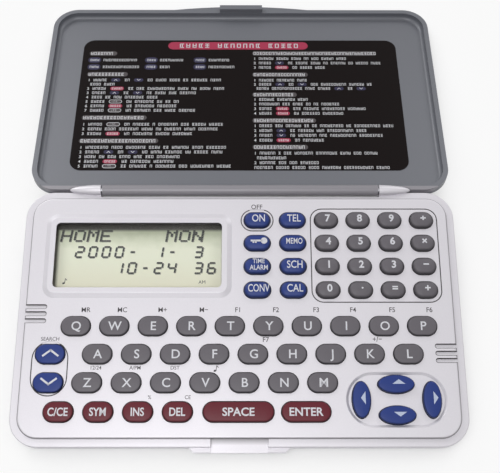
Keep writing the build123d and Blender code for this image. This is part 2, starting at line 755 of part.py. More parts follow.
# Display window: a clear plate under the opening
lens_top = deck_under - display_gap
lens_bottom = lens_top - lens_thickness
lens_width = window_width + 2 * lens_overlap
lens_height = window_height + 2 * lens_overlap
with BuildPart() as display_window:
    with BuildSketch(FACE.offset(lens_bottom)):
        with Locations((window_x, window_v)):
            Rectangle(lens_width, lens_height)
    extrude(amount=lens_thickness)

export(display_window.part, "display_window")

# Liquid crystal panel: front glass with a contact ledge past the shorter rear glass
panel_top = lens_bottom - display_gap
with BuildPart() as lcd_panel:
    with BuildSketch(FACE.offset(panel_top)):
        with Locations((window_x, window_v)):
            Rectangle(lens_width - 2 * display_gap, lens_height - 2 * display_gap)
    extrude(amount=-glass_thickness)
    with BuildSketch(FACE.offset(panel_top - glass_thickness)):
        with Locations((window_x, window_v - contact_ledge / 2)):
            Rectangle(lens_width - 2 * display_gap, lens_height - 2 * display_gap - contact_ledge)
    extrude(amount=-glass_thickness)

export(lcd_panel.part, "lcd_panel")

# Frame that holds the window and the panel against the deck
with BuildPart() as display_frame:
    with BuildSketch(FACE.offset(board_top)):
        with Locations((window_x, window_v)):
            Rectangle(lens_width + 2 * holder_wall, lens_height + 2 * holder_wall)
            Rectangle(lens_width + 2 * display_gap, lens_height + 2 * display_gap,
                      mode=Mode.SUBTRACT)
    extrude(amount=deck_under - board_top - display_gap)
    # bars under the two short sides of the panel
    with BuildSketch(FACE.offset(board_top)):
        for side in (-1, 1):
            with Locations((window_x + side * lens_width / 2, window_v)):
                Rectangle(2 * holder_wall, lens_height - 2 * contact_ledge)
    extrude(amount=panel_top - 2 * glass_thickness - display_gap - board_top)

export(display_frame.part, "display_frame")

# Contact strip between the ledge of the front glass and the board
with BuildPart() as contact_strip:
    with BuildSketch(FACE.offset(board_top)):
        with Locations((window_x, window_v + (lens_height - contact_ledge) / 2 - display_gap)):
            Rectangle(window_width - 2 * holder_wall, contact_ledge - 2 * strip_margin)
    extrude(amount=panel_top - glass_thickness - board_top)

export(contact_strip.part, "contact_strip")

# Lid: shallow tray with a bowed front, a catch and the hinge barrel
with BuildPart() as lid_shell:
    with BuildSketch(LID.offset(-lid_thickness)):
        with Locations((0, (lid_length + lid_near_gap) / 2)):
            RectangleRounded(case_width, lid_length - lid_near_gap, case_corner_radius)
    extrude(amount=lid_thickness)
    fillet(lid_shell.faces().sort_by(Axis(hinge_point, LID.z_dir))[0].edges(), lid_edge_radius)
    with BuildSketch(LID.offset(-bow_thickness)):
        with BuildLine():
            bow = ThreePointArc((-bow_width / 2, lid_length), (0, lid_length + bow_rise),
                                (bow_width / 2, lid_length))
            Polyline(bow @ 0, (-bow_width / 2, lid_length - lid_lip_width),
                     (bow_width / 2, lid_length - lid_lip_width), bow @ 1)
        make_face()
    extrude(amount=bow_thickness)
    with BuildSketch(LID.offset(-lid_recess_depth)):
        with Locations((0, (lid_length + lid_near_gap) / 2)):
            RectangleRounded(case_width - 2 * lid_lip_width,
                             lid_length - lid_near_gap - 2 * lid_lip_width,
                             case_corner_radius - lid_lip_width)
    extrude(amount=lid_recess_depth, mode=Mode.SUBTRACT)
    recess_floor = lid_shell.faces(Select.LAST).sort_by(Axis(hinge_point, LID.z_dir))[0]
    fillet(recess_floor.edges(), lid_recess_round)
    # catch block that stands up from the bow, with a small window in it
    with BuildSketch(LID):
        with Locations((0, lid_length + bow_rise / 2)):
            Rectangle(catch_width, catch_depth, align=(Align.CENTER, Align.MAX))
    extrude(amount=catch_height)
    with BuildSketch(LID.offset(catch_height / 3)):
        with Locations((0, lid_length + bow_rise / 2)):
            Rectangle(catch_window_width, catch_depth / 2)
    extrude(amount=catch_height / 3, mode=Mode.SUBTRACT)
    # room for the ears of the case at both ends of the barrel
    for side in (-1, 1):
        start = side * barrel_length / 2
        reach = ear_length + 2 * barrel_gap
        with BuildSketch(LID):
            with BuildLine():
                Line((start, 0), (start, barrel_radius + barrel_gap))
                EllipticalCenterArc((start, 0), reach, barrel_radius + barrel_gap,
                                    start_angle=0 if side > 0 else 90, arc_size=90)
                Line((start + side * reach, 0), (start, 0))
            make_face()
        revolve(axis=Axis(hinge_point, (1, 0, 0)), mode=Mode.SUBTRACT)
    # barrel and the bores for its pins
    with BuildSketch(Plane(hinge_point, z_dir=(1, 0, 0))):
        Circle(barrel_radius)
    extrude(amount=barrel_length / 2, both=True)
    for side in (-1, 1):
        with BuildSketch(Plane(hinge_point, z_dir=(1, 0, 0)).offset(side * barrel_length / 2)):
            Circle(pin_radius + pin_play)
        extrude(amount=-side * (pin_length / 2 + barrel_gap), mode=Mode.SUBTRACT)

export(lid_shell.part, "lid_shell")

# Printed card in the recess of the lid
with BuildPart() as reference_card:
    with BuildSketch(LID.offset(card_gap - lid_recess_depth)):
        with Locations((card_x, card_near_edge + card_height / 2)):
            RectangleRounded(card_width, card_height, card_corner_radius)
    extrude(amount=card_thickness)

export(reference_card.part, "reference_card")

# Hinge pins, held in the ears and free in the barrel
with BuildPart() as hinge_pins:
    for side in (-1, 1):
        middle = side * (barrel_length + barrel_gap) / 2
        with BuildSketch(Plane(hinge_point, z_dir=(1, 0, 0)).offset(middle)):
            Circle(pin_radius)
        extrude(amount=(pin_length - barrel_gap) / 2, both=True)

export(hinge_pins.part, "hinge_pins")
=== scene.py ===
import json
from functools import reduce
from math import atan2, cos, pi, radians, sin

import bpy
import numpy as np
from bpy.props import FloatProperty, FloatVectorProperty, PointerProperty
from mathutils import Matrix, Vector


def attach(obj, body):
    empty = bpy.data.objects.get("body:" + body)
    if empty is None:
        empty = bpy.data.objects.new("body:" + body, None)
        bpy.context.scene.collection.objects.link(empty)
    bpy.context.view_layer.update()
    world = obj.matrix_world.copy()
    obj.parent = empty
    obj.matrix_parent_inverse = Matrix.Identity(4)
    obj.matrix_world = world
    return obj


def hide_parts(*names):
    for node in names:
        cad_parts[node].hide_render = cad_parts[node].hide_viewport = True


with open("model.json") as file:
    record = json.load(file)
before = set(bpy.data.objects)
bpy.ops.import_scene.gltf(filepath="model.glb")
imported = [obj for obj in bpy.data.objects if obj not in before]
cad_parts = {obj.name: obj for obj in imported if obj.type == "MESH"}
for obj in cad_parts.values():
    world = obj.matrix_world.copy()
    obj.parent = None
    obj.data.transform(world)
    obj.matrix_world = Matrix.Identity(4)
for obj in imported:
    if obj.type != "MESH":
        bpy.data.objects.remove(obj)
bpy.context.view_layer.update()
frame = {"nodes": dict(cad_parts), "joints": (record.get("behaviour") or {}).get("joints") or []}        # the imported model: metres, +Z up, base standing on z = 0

bl_info = {
    "name": "Pocket Organizer",
    "version": (1, 0, 0),
    "blender": (4, 5, 0),
    "location": "View3D > Sidebar > Organizer",
    "description": "Finishes, key caps and print of a pocket organizer with a hinged lid",
    "category": "Object",
}

MM = 0.001
WHITE = (1, 1, 1, 1)
CAPITAL = 0.729          # height of a capital of the built-in letters, as a share of their size

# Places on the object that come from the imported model
JOINTS = {joint["name"]: joint for joint in frame["joints"]}
HINGE = np.array(JOINTS["lid_hinge"]["pos_m"])
PRESS = JOINTS["key_enter_press"]["axis"]
FACE_SLOPE = atan2(PRESS[1], -PRESS[2])
LID_LEAN = radians(JOINTS["lid_hinge"]["range_deg"][1] - 180)


class Surface:
    """A sloping plane through the hinge axis: x across, v away along the plane, n up from it."""

    def __init__(self, slope):
        self.axes = np.array([(1, 0, 0), (0, cos(slope), sin(slope)), (0, -sin(slope), cos(slope))])

    def world(self, x, v, n):
        """Points of the model at places given on this plane."""
        x, v, n = np.broadcast_arrays(x, v, n)
        return HINGE + np.stack([x, v, n], axis=-1) @ self.axes


FACE = Surface(FACE_SLOPE)
LID = Surface(FACE_SLOPE - LID_LEAN)


def node_places(node, surface):
    """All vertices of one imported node, as places on a plane."""
    mesh = frame["nodes"][node].data
    points = np.empty(3 * len(mesh.vertices))
    mesh.vertices.foreach_get("co", points)
    return (points.reshape(-1, 3) - HINGE) @ surface.axes.T


def mm(*values):
    """Lengths given in millimetres, in the model's metres."""
    return tuple(value * MM for value in values)


def extent(node, surface):
    """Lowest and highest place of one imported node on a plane."""
    places = node_places(node, surface)
    return places.min(axis=0), places.max(axis=0)


def colour(red, green, blue):
    """A screen colour of 0 to 255 per channel as the linear colour that a shader takes."""
    share = np.array((red, green, blue)) / 255
    linear = np.where(share <= 0.04045, share / 12.92, ((share + 0.055) / 1.055) ** 2.4)
    return (*(float(value) for value in linear), 1.0)


def tint(name, about, red, green, blue):
    """A colour property with its default given as a screen colour."""
    return FloatVectorProperty(name=name, description=about, subtype="COLOR", size=4, min=0, max=1,
                               default=colour(red, green, blue))


def length(name, about, millimetres):
    """A length property with its default given in millimetres."""
    return FloatProperty(name=name, description=about, unit="LENGTH", default=millimetres * MM,
                         precision=5)


def watts(name, about, value):
    """A lamp's power."""
    return FloatProperty(name=name, description=about, unit="POWER", default=value)


class OrganizerSizes(bpy.types.PropertyGroup):
    """Sizes of the key caps and of everything printed on the organizer."""

    flange: length("Key flange", "How far a key's flange stands out past its cap", 0.55)
    flange_depth: length("Flange thickness", "Thickness of the flange under the deck", 0.8)
    low_edge: length("Flat key edge", "Edge round of the letter keys", 0.5)
    low_crown: length("Flat key crown", "Rise of a letter key's top from edge to middle", 0.1)
    tall_edge: length("Tall key edge", "Edge round of the number and mode keys", 1.0)
    tall_crown: length("Tall key crown", "Rise of a number key's top from edge to middle", 0.2)
    ink: length("Ink", "How far the print stands above its surface", 0.015)
    letter_height: length("Letters", "Capital height of the letter legends", 2.55)
    number_height: length("Numbers", "Height of the number legends", 2.15)
    word_height: length("Words", "Capital height of the words on the red and blue keys", 2.25)
    deck_height: length("Deck words", "Capital height of the small words on the deck", 1.45)
    line_height: length("Card lines", "Height of the marks in the lines of the card", 1.05)
    left_pitch: length("Left pitch", "Distance from mark to mark in the card's left column", 0.885)
    right_pitch: length("Right pitch", "Distance from mark to mark in its right column", 0.825)
    digit_pitch: length("Digit pitch", "Distance from column to column of the display", 3.82)
    digit_height: length("Digits", "Height of one row of the display", 3.6)
    lens_overlap: length("Lens overlap", "How far the window reaches under its border", 1.1)


class OrganizerColours(bpy.types.PropertyGroup):
    """Colours of the organizer's parts."""

    silver: tint("Silver", "Case and keyboard deck", 224, 221, 227)
    grey: tint("Grey", "Inside and outside of the lid", 115, 117, 124)
    # Painted highlight: a lighter grey for the lid's round hinge part, where it catches the light
    barrel_highlight: tint("Barrel", "Hinge barrel of the lid", 150, 147, 153)
    grey_key: tint("Grey keys", "Letter and number keys", 113, 109, 115)
    blue_key: tint("Blue keys", "Mode, search and arrow keys", 42, 63, 134)
    red_key: tint("Red keys", "Keys of the bottom row", 102, 26, 40)
    white_ink: tint("White ink", "Legends on the keys", 236, 236, 242)
    pale_ink: tint("Pale ink", "Triangles on the arrow keys", 205, 216, 240)
    # Also the painted shade on the deck: key hole walls, grip slot lines, the deck's foot and the
    # latch notch
    dark_ink_and_shade: tint("Dark ink", "Small words and lines on the deck", 62, 58, 62)
    card: tint("Card", "Ground of the printed card", 20, 14, 14)
    card_red: tint("Card red", "Red labels on the card", 176, 44, 80)
    card_blue: tint("Card blue", "Blue labels on the card", 30, 26, 66)
    card_white: tint("Card white", "Lines printed on the card", 226, 226, 230)
    display: tint("Display", "Lit ground of the display", 252, 255, 232)
    # Painted shade: the darker, greener ground under the window's top wall
    display_top_shade: tint("Display top", "Ground of the display under its top edge", 192, 204, 168)
    display_foot: tint("Display foot", "Ground of the display along its foot", 244, 240, 214)
    segment: tint("Segments", "Dots and bars of the display", 14, 20, 20)
    # Painted shade: the walls of the window opening and the display's edges under them, where little
    # light gets
    opening_shade: tint("Lining", "Inside of the window opening", 46, 42, 42)


class OrganizerStudio(bpy.types.PropertyGroup):
    """Camera place over the keyboard and the lamps."""

    lens: FloatProperty(name="Lens", description="Focal length in millimetres", default=64.91)
    tilt: FloatProperty(name="Tilt", description="Lean of the view from the keyboard's normal",
                        subtype="ANGLE", default=radians(19.46))
    yaw: FloatProperty(name="Yaw", description="Turn of the view about the keyboard's normal",
                       subtype="ANGLE", default=radians(0.7115))
    roll: FloatProperty(name="Roll", description="Turn of the picture", subtype="ANGLE",
                        default=radians(-0.6845))
    across: length("Across", "Camera to the right of the middle", 1.82)
    along: length("Along", "Camera from the hinge axis, along the keyboard", -101.66)
    above: length("Above", "Camera above the keyboard plane", 246.73)
    sky: FloatProperty(name="Sky", description="Light from all round on the object", default=0.18)
    top_lamp: watts("Top lamp", "Soft box overhead", 0.47)
    left_lamp: watts("Left lamp", "Soft box behind at the left", 1.1)
    right_lamp: watts("Right lamp", "Soft box behind at the right", 0.55)
    floor_white: FloatProperty(name="Floor", description="Share of plain white in the floor's look",
                               default=0.88)


GROUPS = (("organizer_sizes", OrganizerSizes), ("organizer_colours", OrganizerColours),
          ("organizer_studio", OrganizerStudio))


def settings(scene):
    """Sizes and colours as they are set in a scene."""
    return scene.organizer_sizes, scene.organizer_colours


# Shader maths


def math_node(operation, reflected=False):
    """A method of Signal that adds one Math node for the signal and the other value, if any."""
    def method(self, *others):
        values = (*others, self) if reflected else (self, *others)
        return self.nodes.value("Math", {"operation": operation}, dict(enumerate(values)))
    return method


class Signal:
    """A shader value in a Python expression: each operation on it adds one Math node. Above and
    below give the value itself, or the other one where that is higher or lower."""

    __add__, __radd__ = math_node("ADD"), math_node("ADD", reflected=True)
    __sub__, __rsub__ = math_node("SUBTRACT"), math_node("SUBTRACT", reflected=True)
    __mul__, __rmul__ = math_node("MULTIPLY"), math_node("MULTIPLY", reflected=True)
    __truediv__, __pow__ = math_node("DIVIDE"), math_node("POWER")
    __lt__, __gt__ = math_node("LESS_THAN"), math_node("GREATER_THAN")
    __abs__ = math_node("ABSOLUTE")
    above, below = math_node("MAXIMUM"), math_node("MINIMUM")

    def __init__(self, nodes, socket):
        self.nodes = nodes
        self.socket = socket

    def share(self):
        """The value itself, kept between 0 and 1."""
        return self.above(0.0).below(1.0)


class Nodes:
    """The nodes of one material or world, added one by one."""

    def __init__(self, owner):
        owner.use_nodes = True
        self.owner = owner
        self.tree = owner.node_tree
        self.tree.nodes.clear()

    def node(self, kind, settings, inputs):
        """A node of one kind, with its settings and then the values or links of its sockets."""
        node = self.tree.nodes.new(f"ShaderNode{kind}")
        for name, value in settings.items():
            setattr(node, name, value)
        for socket, value in inputs.items():
            self.feed(node.inputs[socket], value)
        return node

    def value(self, kind, settings, inputs, output=0):
        """One output of a new node, ready for an expression."""
        return Signal(self, self.node(kind, settings, inputs).outputs[output])

    def feed(self, socket, value):
        """A value or a link into one socket."""
        if isinstance(value, Signal):
            self.tree.links.new(value.socket, socket)
        else:
            socket.default_value = value

    def rays(self, *kinds):
        """1 for light rays of any of the kinds, and 0 for all others."""
        path = self.node("LightPath", {}, {}).outputs
        rays = (Signal(self, path[f"Is {kind} Ray"]) for kind in kinds)
        return reduce(Signal.__add__, rays).below(1.0)

    def backdrop_rays(self):
        """1 for rays on which a white backdrop shows: from the camera, a gloss or a clear part."""
        return self.rays("Camera", "Glossy", "Transmission")


class Paint(Nodes):
    """One material while it is being mixed, with the object's own coordinates at hand."""

    def __init__(self, name, **constants):
        super().__init__(bpy.data.materials.new(name))
        self.material = self.owner
        self.output = self.node("OutputMaterial", {}, {})
        self.shader = self.node("BsdfPrincipled", {}, {})
        self.drive(**constants)
        self.cover(Signal(self, self.shader.outputs[0]))
        self.place = self.value("TexCoord", {}, {}, "Object")

    def cover(self, surface):
        """Makes one shader the material's surface."""
        self.surface = surface
        self.feed(self.output.inputs["Surface"], surface)

    def drive(self, **inputs):
        """Values or links for the sockets of the material's own shader."""
        for socket, value in inputs.items():
            self.feed(self.shader.inputs[socket.replace("_", " ")], value)

    def base_colour(self):
        """The varying colour that the shader has been given so far."""
        return Signal(self, self.shader.inputs["Base Color"].links[0].from_socket)

    def grain(self, size, detail=2.0):
        """Noise between 0 and 1 whose blots are about as large as a length."""
        return self.value("TexNoise", {}, {"Vector": self.place, "Scale": 1 / size,
                                           "Detail": detail})

    def blend(self, mask, first, second):
        """The first colour where the mask is 0 and the second where it is 1."""
        return self.value("Mix", {"data_type": "RGBA"}, {"Factor": mask, 6: first, 7: second}, 2)

    def along(self, surface):
        """The three places on a plane of the shaded point: x, v and n."""
        parts = self.node("SeparateXYZ", {}, {"Vector": self.place}).outputs
        x, y, z = (Signal(self, part) for part in parts)
        steps = surface.axes.tolist()
        y, z = y - HINGE[1], z - HINGE[2]
        return x, y * steps[1][1] + z * steps[1][2], y * steps[2][1] + z * steps[2][2]

    def lean(self, surface):
        """Cosine between the face's own normal and a plane's normal: 1 where the face lies along
        the plane, 0 on an upright wall."""
        facing = self.value("NewGeometry", {}, {}, "Normal")
        return self.value("VectorMath", {"operation": "DOT_PRODUCT"},
                          {0: facing, 1: surface.axes[2].tolist()}, "Value")

    def bump(self, height, depth):
        """A normal that follows a height given as a share of a depth in metres."""
        return self.value("Bump", {}, {"Height": height, "Distance": depth, "Strength": 1.0})


def shade(tone, factor):
    """A colour made lighter or darker by a factor."""
    return (*(min(1.0, part * factor) for part in tone[:3]), 1.0)


def frame_distance(x, v, centre, width, height, radius):
    """Distance of a point from the outline of a rounded rectangle: how far the point lies past
    the rectangle of corner centres, less the radius; exact outside and on the outline."""
    across = (abs(x - float(centre[0])) - float(width / 2 - radius)).above(0.0)
    along = (abs(v - float(centre[1])) - float(height / 2 - radius)).above(0.0)
    return (across ** 2 + along ** 2) ** 0.5 - radius


def strongest(masks):
    """One mask that is everywhere as high as the highest of several."""
    return reduce(Signal.above, masks)


def moulded(name, tone, roughness, grain=0.35 * MM, contrast=0.05, depth=0.012 * MM, metallic=0.0,
            gloss=0.5):
    """Moulded plastic: fine grain in colour and height, broad faint clouds in colour and gloss."""
    paint = Paint(name, Metallic=metallic, Specular_IOR_Level=gloss)
    fine = paint.grain(grain)
    broad = paint.grain(14 * MM, 3.0)
    mixed = paint.blend(fine, shade(tone, 1 - contrast), shade(tone, 1 + contrast))
    mixed = paint.blend(broad * 0.5, mixed, shade(tone, 1.03))
    paint.drive(Base_Color=mixed, Roughness=broad * 0.08 + (roughness - 0.04),
                Normal=paint.bump(fine, depth))
    return paint


def printed(name, tone, roughness=0.5):
    """Printed ink: slightly uneven cover."""
    paint = Paint(name, IOR=1.45)
    cover = paint.grain(0.25 * MM, 3.0)
    paint.drive(Base_Color=paint.blend(cover, shade(tone, 0.92), shade(tone, 1.05)),
                Roughness=cover * 0.1 + (roughness - 0.05))
    return paint


def metal(name, tone, roughness, grain):
    """Bare metal with fine brushed scratches along x and a bump to match."""
    paint = Paint(name, Metallic=1.0)
    stretched = paint.value("Mapping", {}, {"Vector": paint.place, "Scale": (0.12, 1, 1)})
    scratch = paint.value("TexNoise", {}, {"Vector": stretched, "Scale": 1 / grain,
                                           "Detail": 4.0})
    paint.drive(Base_Color=paint.blend(scratch, shade(tone, 0.85), shade(tone, 1.08)),
                Roughness=scratch * 0.2 + (roughness - 0.1), Normal=paint.bump(scratch, 0.01 * MM))
    return paint


def finish(paint, *nodes):
    """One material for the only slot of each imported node."""
    for node in nodes:
        slots = frame["nodes"][node].data.materials
        slots.clear()
        slots.append(paint.material)


# Meshes worked out as whole arrays


class Shape:
    """Points and faces gathered as arrays until they become the mesh of one piece."""

    def __init__(self):
        self.points, self.corners, self.counts, self.total = [], [], [], 0

    def add(self, points, corners, counts):
        """Points (n, 3), the point numbers of all faces in a row, and each face's corner count."""
        self.points.append(points.reshape(-1, 3))
        self.corners.append(corners.ravel() + self.total)
        self.counts.append(counts.ravel())
        self.total += len(self.points[-1])
        return self

    def piece(self, name, paint, body, slot=None, smooth=None):
        """The finished object, riding on a body; smooth is the angle from which edges stay sharp."""
        corners, counts = np.concatenate(self.corners), np.concatenate(self.counts)
        mesh = bpy.data.meshes.new(name)
        mesh.vertices.add(self.total)
        mesh.loops.add(len(corners))
        mesh.polygons.add(len(counts))
        mesh.vertices.foreach_set("co", np.concatenate(self.points).ravel())
        mesh.loops.foreach_set("vertex_index", corners.astype(np.int32))
        starts = np.concatenate([[0], np.cumsum(counts)[:-1]]).astype(np.int32)
        mesh.polygons.foreach_set("loop_start", starts)
        mesh.polygons.foreach_set("use_smooth", np.full(len(counts), smooth is not None))
        mesh.update(calc_edges=True)
        if smooth is not None:
            mesh.set_sharp_from_angle(angle=smooth)
        mesh.materials.append(paint.material)
        piece = bpy.data.objects.new(name, mesh)
        bpy.context.scene.collection.objects.link(piece)
        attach(piece, body)
        return piece

    def plates(self, surface, outlines, low, high):
        """Flat plates between two heights over a plane, from outlines (plates, corners, x and v)
        that run counter-clockwise: a floor, a top and one side along each edge."""
        outlines = np.asarray(outlines, float)
        count, corners = outlines.shape[:2]
        points = np.stack([surface.world(outlines[..., 0], outlines[..., 1], n)
                           for n in (low, high)], axis=1)
        ring = np.arange(corners)
        first = (np.arange(count) * 2 * corners)[:, None]
        sides = np.stack([ring, np.roll(ring, -1), np.roll(ring, -1) + corners, ring + corners], 1)
        faces = np.concatenate([(first + ring[::-1]).ravel(), (first + corners + ring).ravel(),
                                (first[..., None] + sides).ravel()])
        counts = np.concatenate([np.full(2 * count, corners), np.full(count * corners, 4)])
        return self.add(points, faces, counts)

    def grid(self, points):
        """A grid of points (profile steps, steps round) closed round the second direction, with
        its first and last row each drawn together to a closed end."""
        rows, round_ = points.shape[:2]
        number = np.arange(rows * round_).reshape(rows, round_)
        after = np.roll(number, -1, axis=1)
        quads = np.stack([number[:-1], after[:-1], after[1:], number[1:]], axis=-1)
        ends = np.concatenate([number[0, ::-1], number[-1]])
        counts = np.concatenate([np.full((rows - 1) * round_, 4), [round_, round_]])
        return self.add(points, np.concatenate([quads.ravel(), ends]), counts)


def rectangles(x, v, width, height, slant=0.0):
    """Outlines of rectangles about their centres; slant shifts x by a share of the height."""
    x, v, width, height = np.broadcast_arrays(*np.atleast_1d(x, v, width, height))
    side = np.array([(-1, -1), (1, -1), (1, 1), (-1, 1)]) / 2
    up = side[:, 1] * height[:, None]
    return np.stack([x[:, None] + side[:, 0] * width[:, None] + slant * up, v[:, None] + up], -1)


def pills(x, v, width, height, steps=8):
    """Outlines with round ends: two half circles of half the height about centres moved out by
    half of what the width has over the height."""
    x, v = np.broadcast_arrays(*np.atleast_1d(x, v))
    turn = np.linspace(-pi / 2, pi / 2, steps)
    turn = np.concatenate([turn, turn + pi])
    core = np.repeat((1, -1), steps) * (width - height) / 2
    return np.stack([x[:, None] + core + height / 2 * np.cos(turn),
                     v[:, None] + height / 2 * np.sin(turn)], -1)


def strokes(starts, ends, width):
    """Outlines of straight strokes: each is its middle line set off by half the width to both
    sides and drawn out by half the width at both ends."""
    starts, ends = np.atleast_2d(starts), np.atleast_2d(ends)
    ahead = (ends - starts) / np.linalg.norm(ends - starts, axis=1, keepdims=True) * width / 2
    aside = np.stack([-ahead[:, 1], ahead[:, 0]], axis=1)
    return np.stack([starts - ahead - aside, ends + ahead - aside, ends + ahead + aside,
                     starts - ahead + aside], axis=1)


def chevron(x, v, width, height, thickness):
    """Outline strokes of an arrow head that points to +v, or to -v for a negative height."""
    across, up = width / 2, height / 2
    top = (x, v + up)
    return strokes([(x - across, v - up), top], [top, (x + across, v - up)], thickness)


def lettering(shape, surface, text, x, v, n, height, depth, stretch=1.0, weight=0.0):
    """Adds words about a centre on a plane: the letters' own outlines as slabs of a depth, scaled
    so that their capitals have the height asked for."""
    curve = bpy.data.curves.new("words", "FONT")
    curve.body = text
    curve.resolution_u = 4
    curve.extrude = 1.0
    curve.offset = weight
    words = bpy.data.objects.new("words", curve)
    mesh = bpy.data.meshes.new_from_object(words)
    points = np.empty(3 * len(mesh.vertices))
    mesh.vertices.foreach_get("co", points)
    corners = np.empty(len(mesh.loops), np.int32)
    mesh.loops.foreach_get("vertex_index", corners)
    counts = np.empty(len(mesh.polygons), np.int32)
    mesh.polygons.foreach_get("loop_total", counts)
    bpy.data.objects.remove(words)
    bpy.data.curves.remove(curve)
    bpy.data.meshes.remove(mesh)
    points = points.reshape(-1, 3)
    scale = height / CAPITAL
    across = (points[:, 0] - (points[:, 0].min() + points[:, 0].max()) / 2) * scale * stretch
    along = (points[:, 1] - CAPITAL / 2) * scale
    shape.add(surface.world(x + across, v + along, n - depth / 2 + points[:, 2] * depth / 2),
              corners, counts)


# Key caps

CAP_STEPS = 72


def cap(shape, low, high, is_round, flange, flange_depth, edge, crown):
    """One key: its outline is a circle stretched to an ellipse, or two half circles set apart, and
    its profile runs from the underside of the flange up the wall, over a quarter circle and along
    a parabola to the middle of the top."""
    middle, half = (low + high) / 2, (high - low) / 2
    short = min(half[0], half[1])
    rim = np.linspace(0, pi / 2, 7)
    inward = np.linspace(0, 1, 12)[1:-1]
    top = high[2] - crown
    inset = np.concatenate([[-flange, -flange, 0], edge * (1 - np.cos(rim)),
                            edge + (short - edge) * inward])
    rise = np.concatenate([[low[2], low[2] + flange_depth, low[2] + flange_depth],
                           top - edge + edge * np.sin(rim), top + crown * (1 - (1 - inward) ** 2)])
    turn = np.linspace(0, 2 * pi, CAP_STEPS, endpoint=False) + pi / CAP_STEPS
    core, reach = (np.zeros(2), half[:2]) if is_round else (half[:2] - short, np.full(2, short))
    reach = reach - inset[:, None]
    x = middle[0] + np.sign(np.cos(turn)) * core[0] + reach[:, :1] * np.cos(turn)
    v = middle[1] + np.sign(np.sin(turn)) * core[1] + reach[:, 1:] * np.sin(turn)
    shape.grid(FACE.world(x, v, rise[:, None]))


LETTER_ROWS = {"letter_keys_top": "QWERTYUIOP", "letter_keys_home": "ASDFGHJKL",
               "letter_keys_low": "ZXCVBNM"}
NUMBER_KEYS = {"key_7": "7", "key_8": "8", "key_9": "9", "key_divide": "\u00f7",
               "key_4": "4", "key_5": "5", "key_6": "6", "key_multiply": "\u00d7",
               "key_1": "1", "key_2": "2", "key_3": "3", "key_minus": "\u2212",
               "key_0": "0", "key_point": "\u00b7", "key_equals": "=", "key_plus": "+"}
# Words one to a line, their height as a share of the word height, and their letters' stretch
MODE_KEYS = {"key_on": ("ON", 1.0, 0.8), "key_telephone": ("TEL", 1.0, 0.8),
             "key_lock": ("", 1.0, 1.0), "key_memo": ("MEMO", 0.8, 0.68),
             "key_time": ("TIME ALARM", 0.66, 0.8), "key_schedule": ("SCH", 1.0, 0.8),
             "key_currency": ("CONV", 1.0, 0.68), "key_calculator": ("CAL", 1.0, 0.8)}
RED_KEYS = {"key_clear": "C/CE", "key_symbol": "SYM", "key_insert": "INS", "key_delete": "DEL",
            "key_space": "SPACE", "key_enter": "ENTER"}
SEARCH_KEYS = {"key_search_up": 1, "key_search_down": -1}
ARROW_KEYS = {"key_arrow_left": (-1, 0), "key_arrow_right": (1, 0), "key_arrow_up": (0, 1),
              "key_arrow_down": (0, -1)}
# How far the print of each kind of key stands off the middle of its cap: x, v and n
LETTER_SHIFT, TALL_SHIFT, SEARCH_SHIFT, ARROW_SHIFT = np.array(
    ((0.25, 0, 0), (0.4, 0.35, 0), (0.24, 0.21, 0), (0.64, 0.35, 0))) * MM
SHORT_STRETCH = 0.82                     # of the letters in the red keys' short words
SEARCH_SIGN = mm(4.0, 1.5, 0.55)         # width, height and stroke
TRIANGLE = mm(0.64, 1.78, 0.25)          # half its length and width, and how far forward it stands
# The door key: place and radius of its head, then x, v, width and height of its stem and teeth
KEY_SIGN_HEAD = mm(1.55, 0.95)
KEY_SIGN_BARS = np.array(((-0.6, -1.5, -0.8), (0, -0.35, -0.35), (3.4, 0.5, 0.5),
                          (0.55, 0.7, 0.7))) * MM


def cap_boxes(node):
    """Lowest and highest place of each cap of a key node on the keyboard plane, from the vertices
    above the plane; the caps of a letter row are all as wide as the clear key."""
    places = node_places(node, FACE)
    caps = places[places[:, 2] > 0]
    low, high = caps.min(axis=0), caps.max(axis=0)
    low[2] = extent(node, FACE)[0][2]
    if node not in LETTER_ROWS:
        return [(low, high)]
    clear_low, clear_high = cap_boxes("key_clear")[0]
    width = clear_high[0] - clear_low[0]
    left = np.linspace(low[0], high[0] - width, len(LETTER_ROWS[node]))
    return [(np.array((x, *low[1:])), np.array((x + width, *high[1:]))) for x in left]


def cap_middle(box):
    """Middle of one cap and the height of its top, as x, v and n."""
    low, high = box
    return np.array(((low[0] + high[0]) / 2, (low[1] + high[1]) / 2, high[2]))


def key_top(node):
    """Middle and top of a key's cap, or of the first cap of a row."""
    return cap_middle(cap_boxes(node)[0])


def key_piece(node, plastic, slot, sizes, is_tall=False, is_round=False):
    """Crowned caps in place of one key node."""
    shape = Shape()
    edge, crown = ((sizes.tall_edge, sizes.tall_crown) if is_tall
                   else (sizes.low_edge, sizes.low_crown))
    for low, high in cap_boxes(node):
        cap(shape, low, high, is_round, sizes.flange, sizes.flange_depth, edge, crown)
    piece = shape.piece(f"{node}_caps", plastic, node, slot, smooth=radians(40))
    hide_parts(node)


def key_plastic_with_painted_shade(name, tone):
    """Moulded key plastic with painted shade: darker on the walls of the caps, and dark on their
    flanges below the deck.
    """
    paint = moulded(name, tone, 0.42, contrast=0.07, gloss=0.3)
    walls = (0.98 - paint.lean(FACE)) / 0.5
    _, _, n = paint.along(FACE)
    flange = (0.25 - (n - deck_level()) / MM) / 0.5
    # Painted shade: the walls and the parts below the deck blend most of the way to the key colour at
    # 0.3 of its brightness.
    depth = walls.above(flange).share()
    paint.drive(Base_Color=paint.blend(depth * 0.9, paint.base_colour(), shade(tone, 0.3)))
    return paint


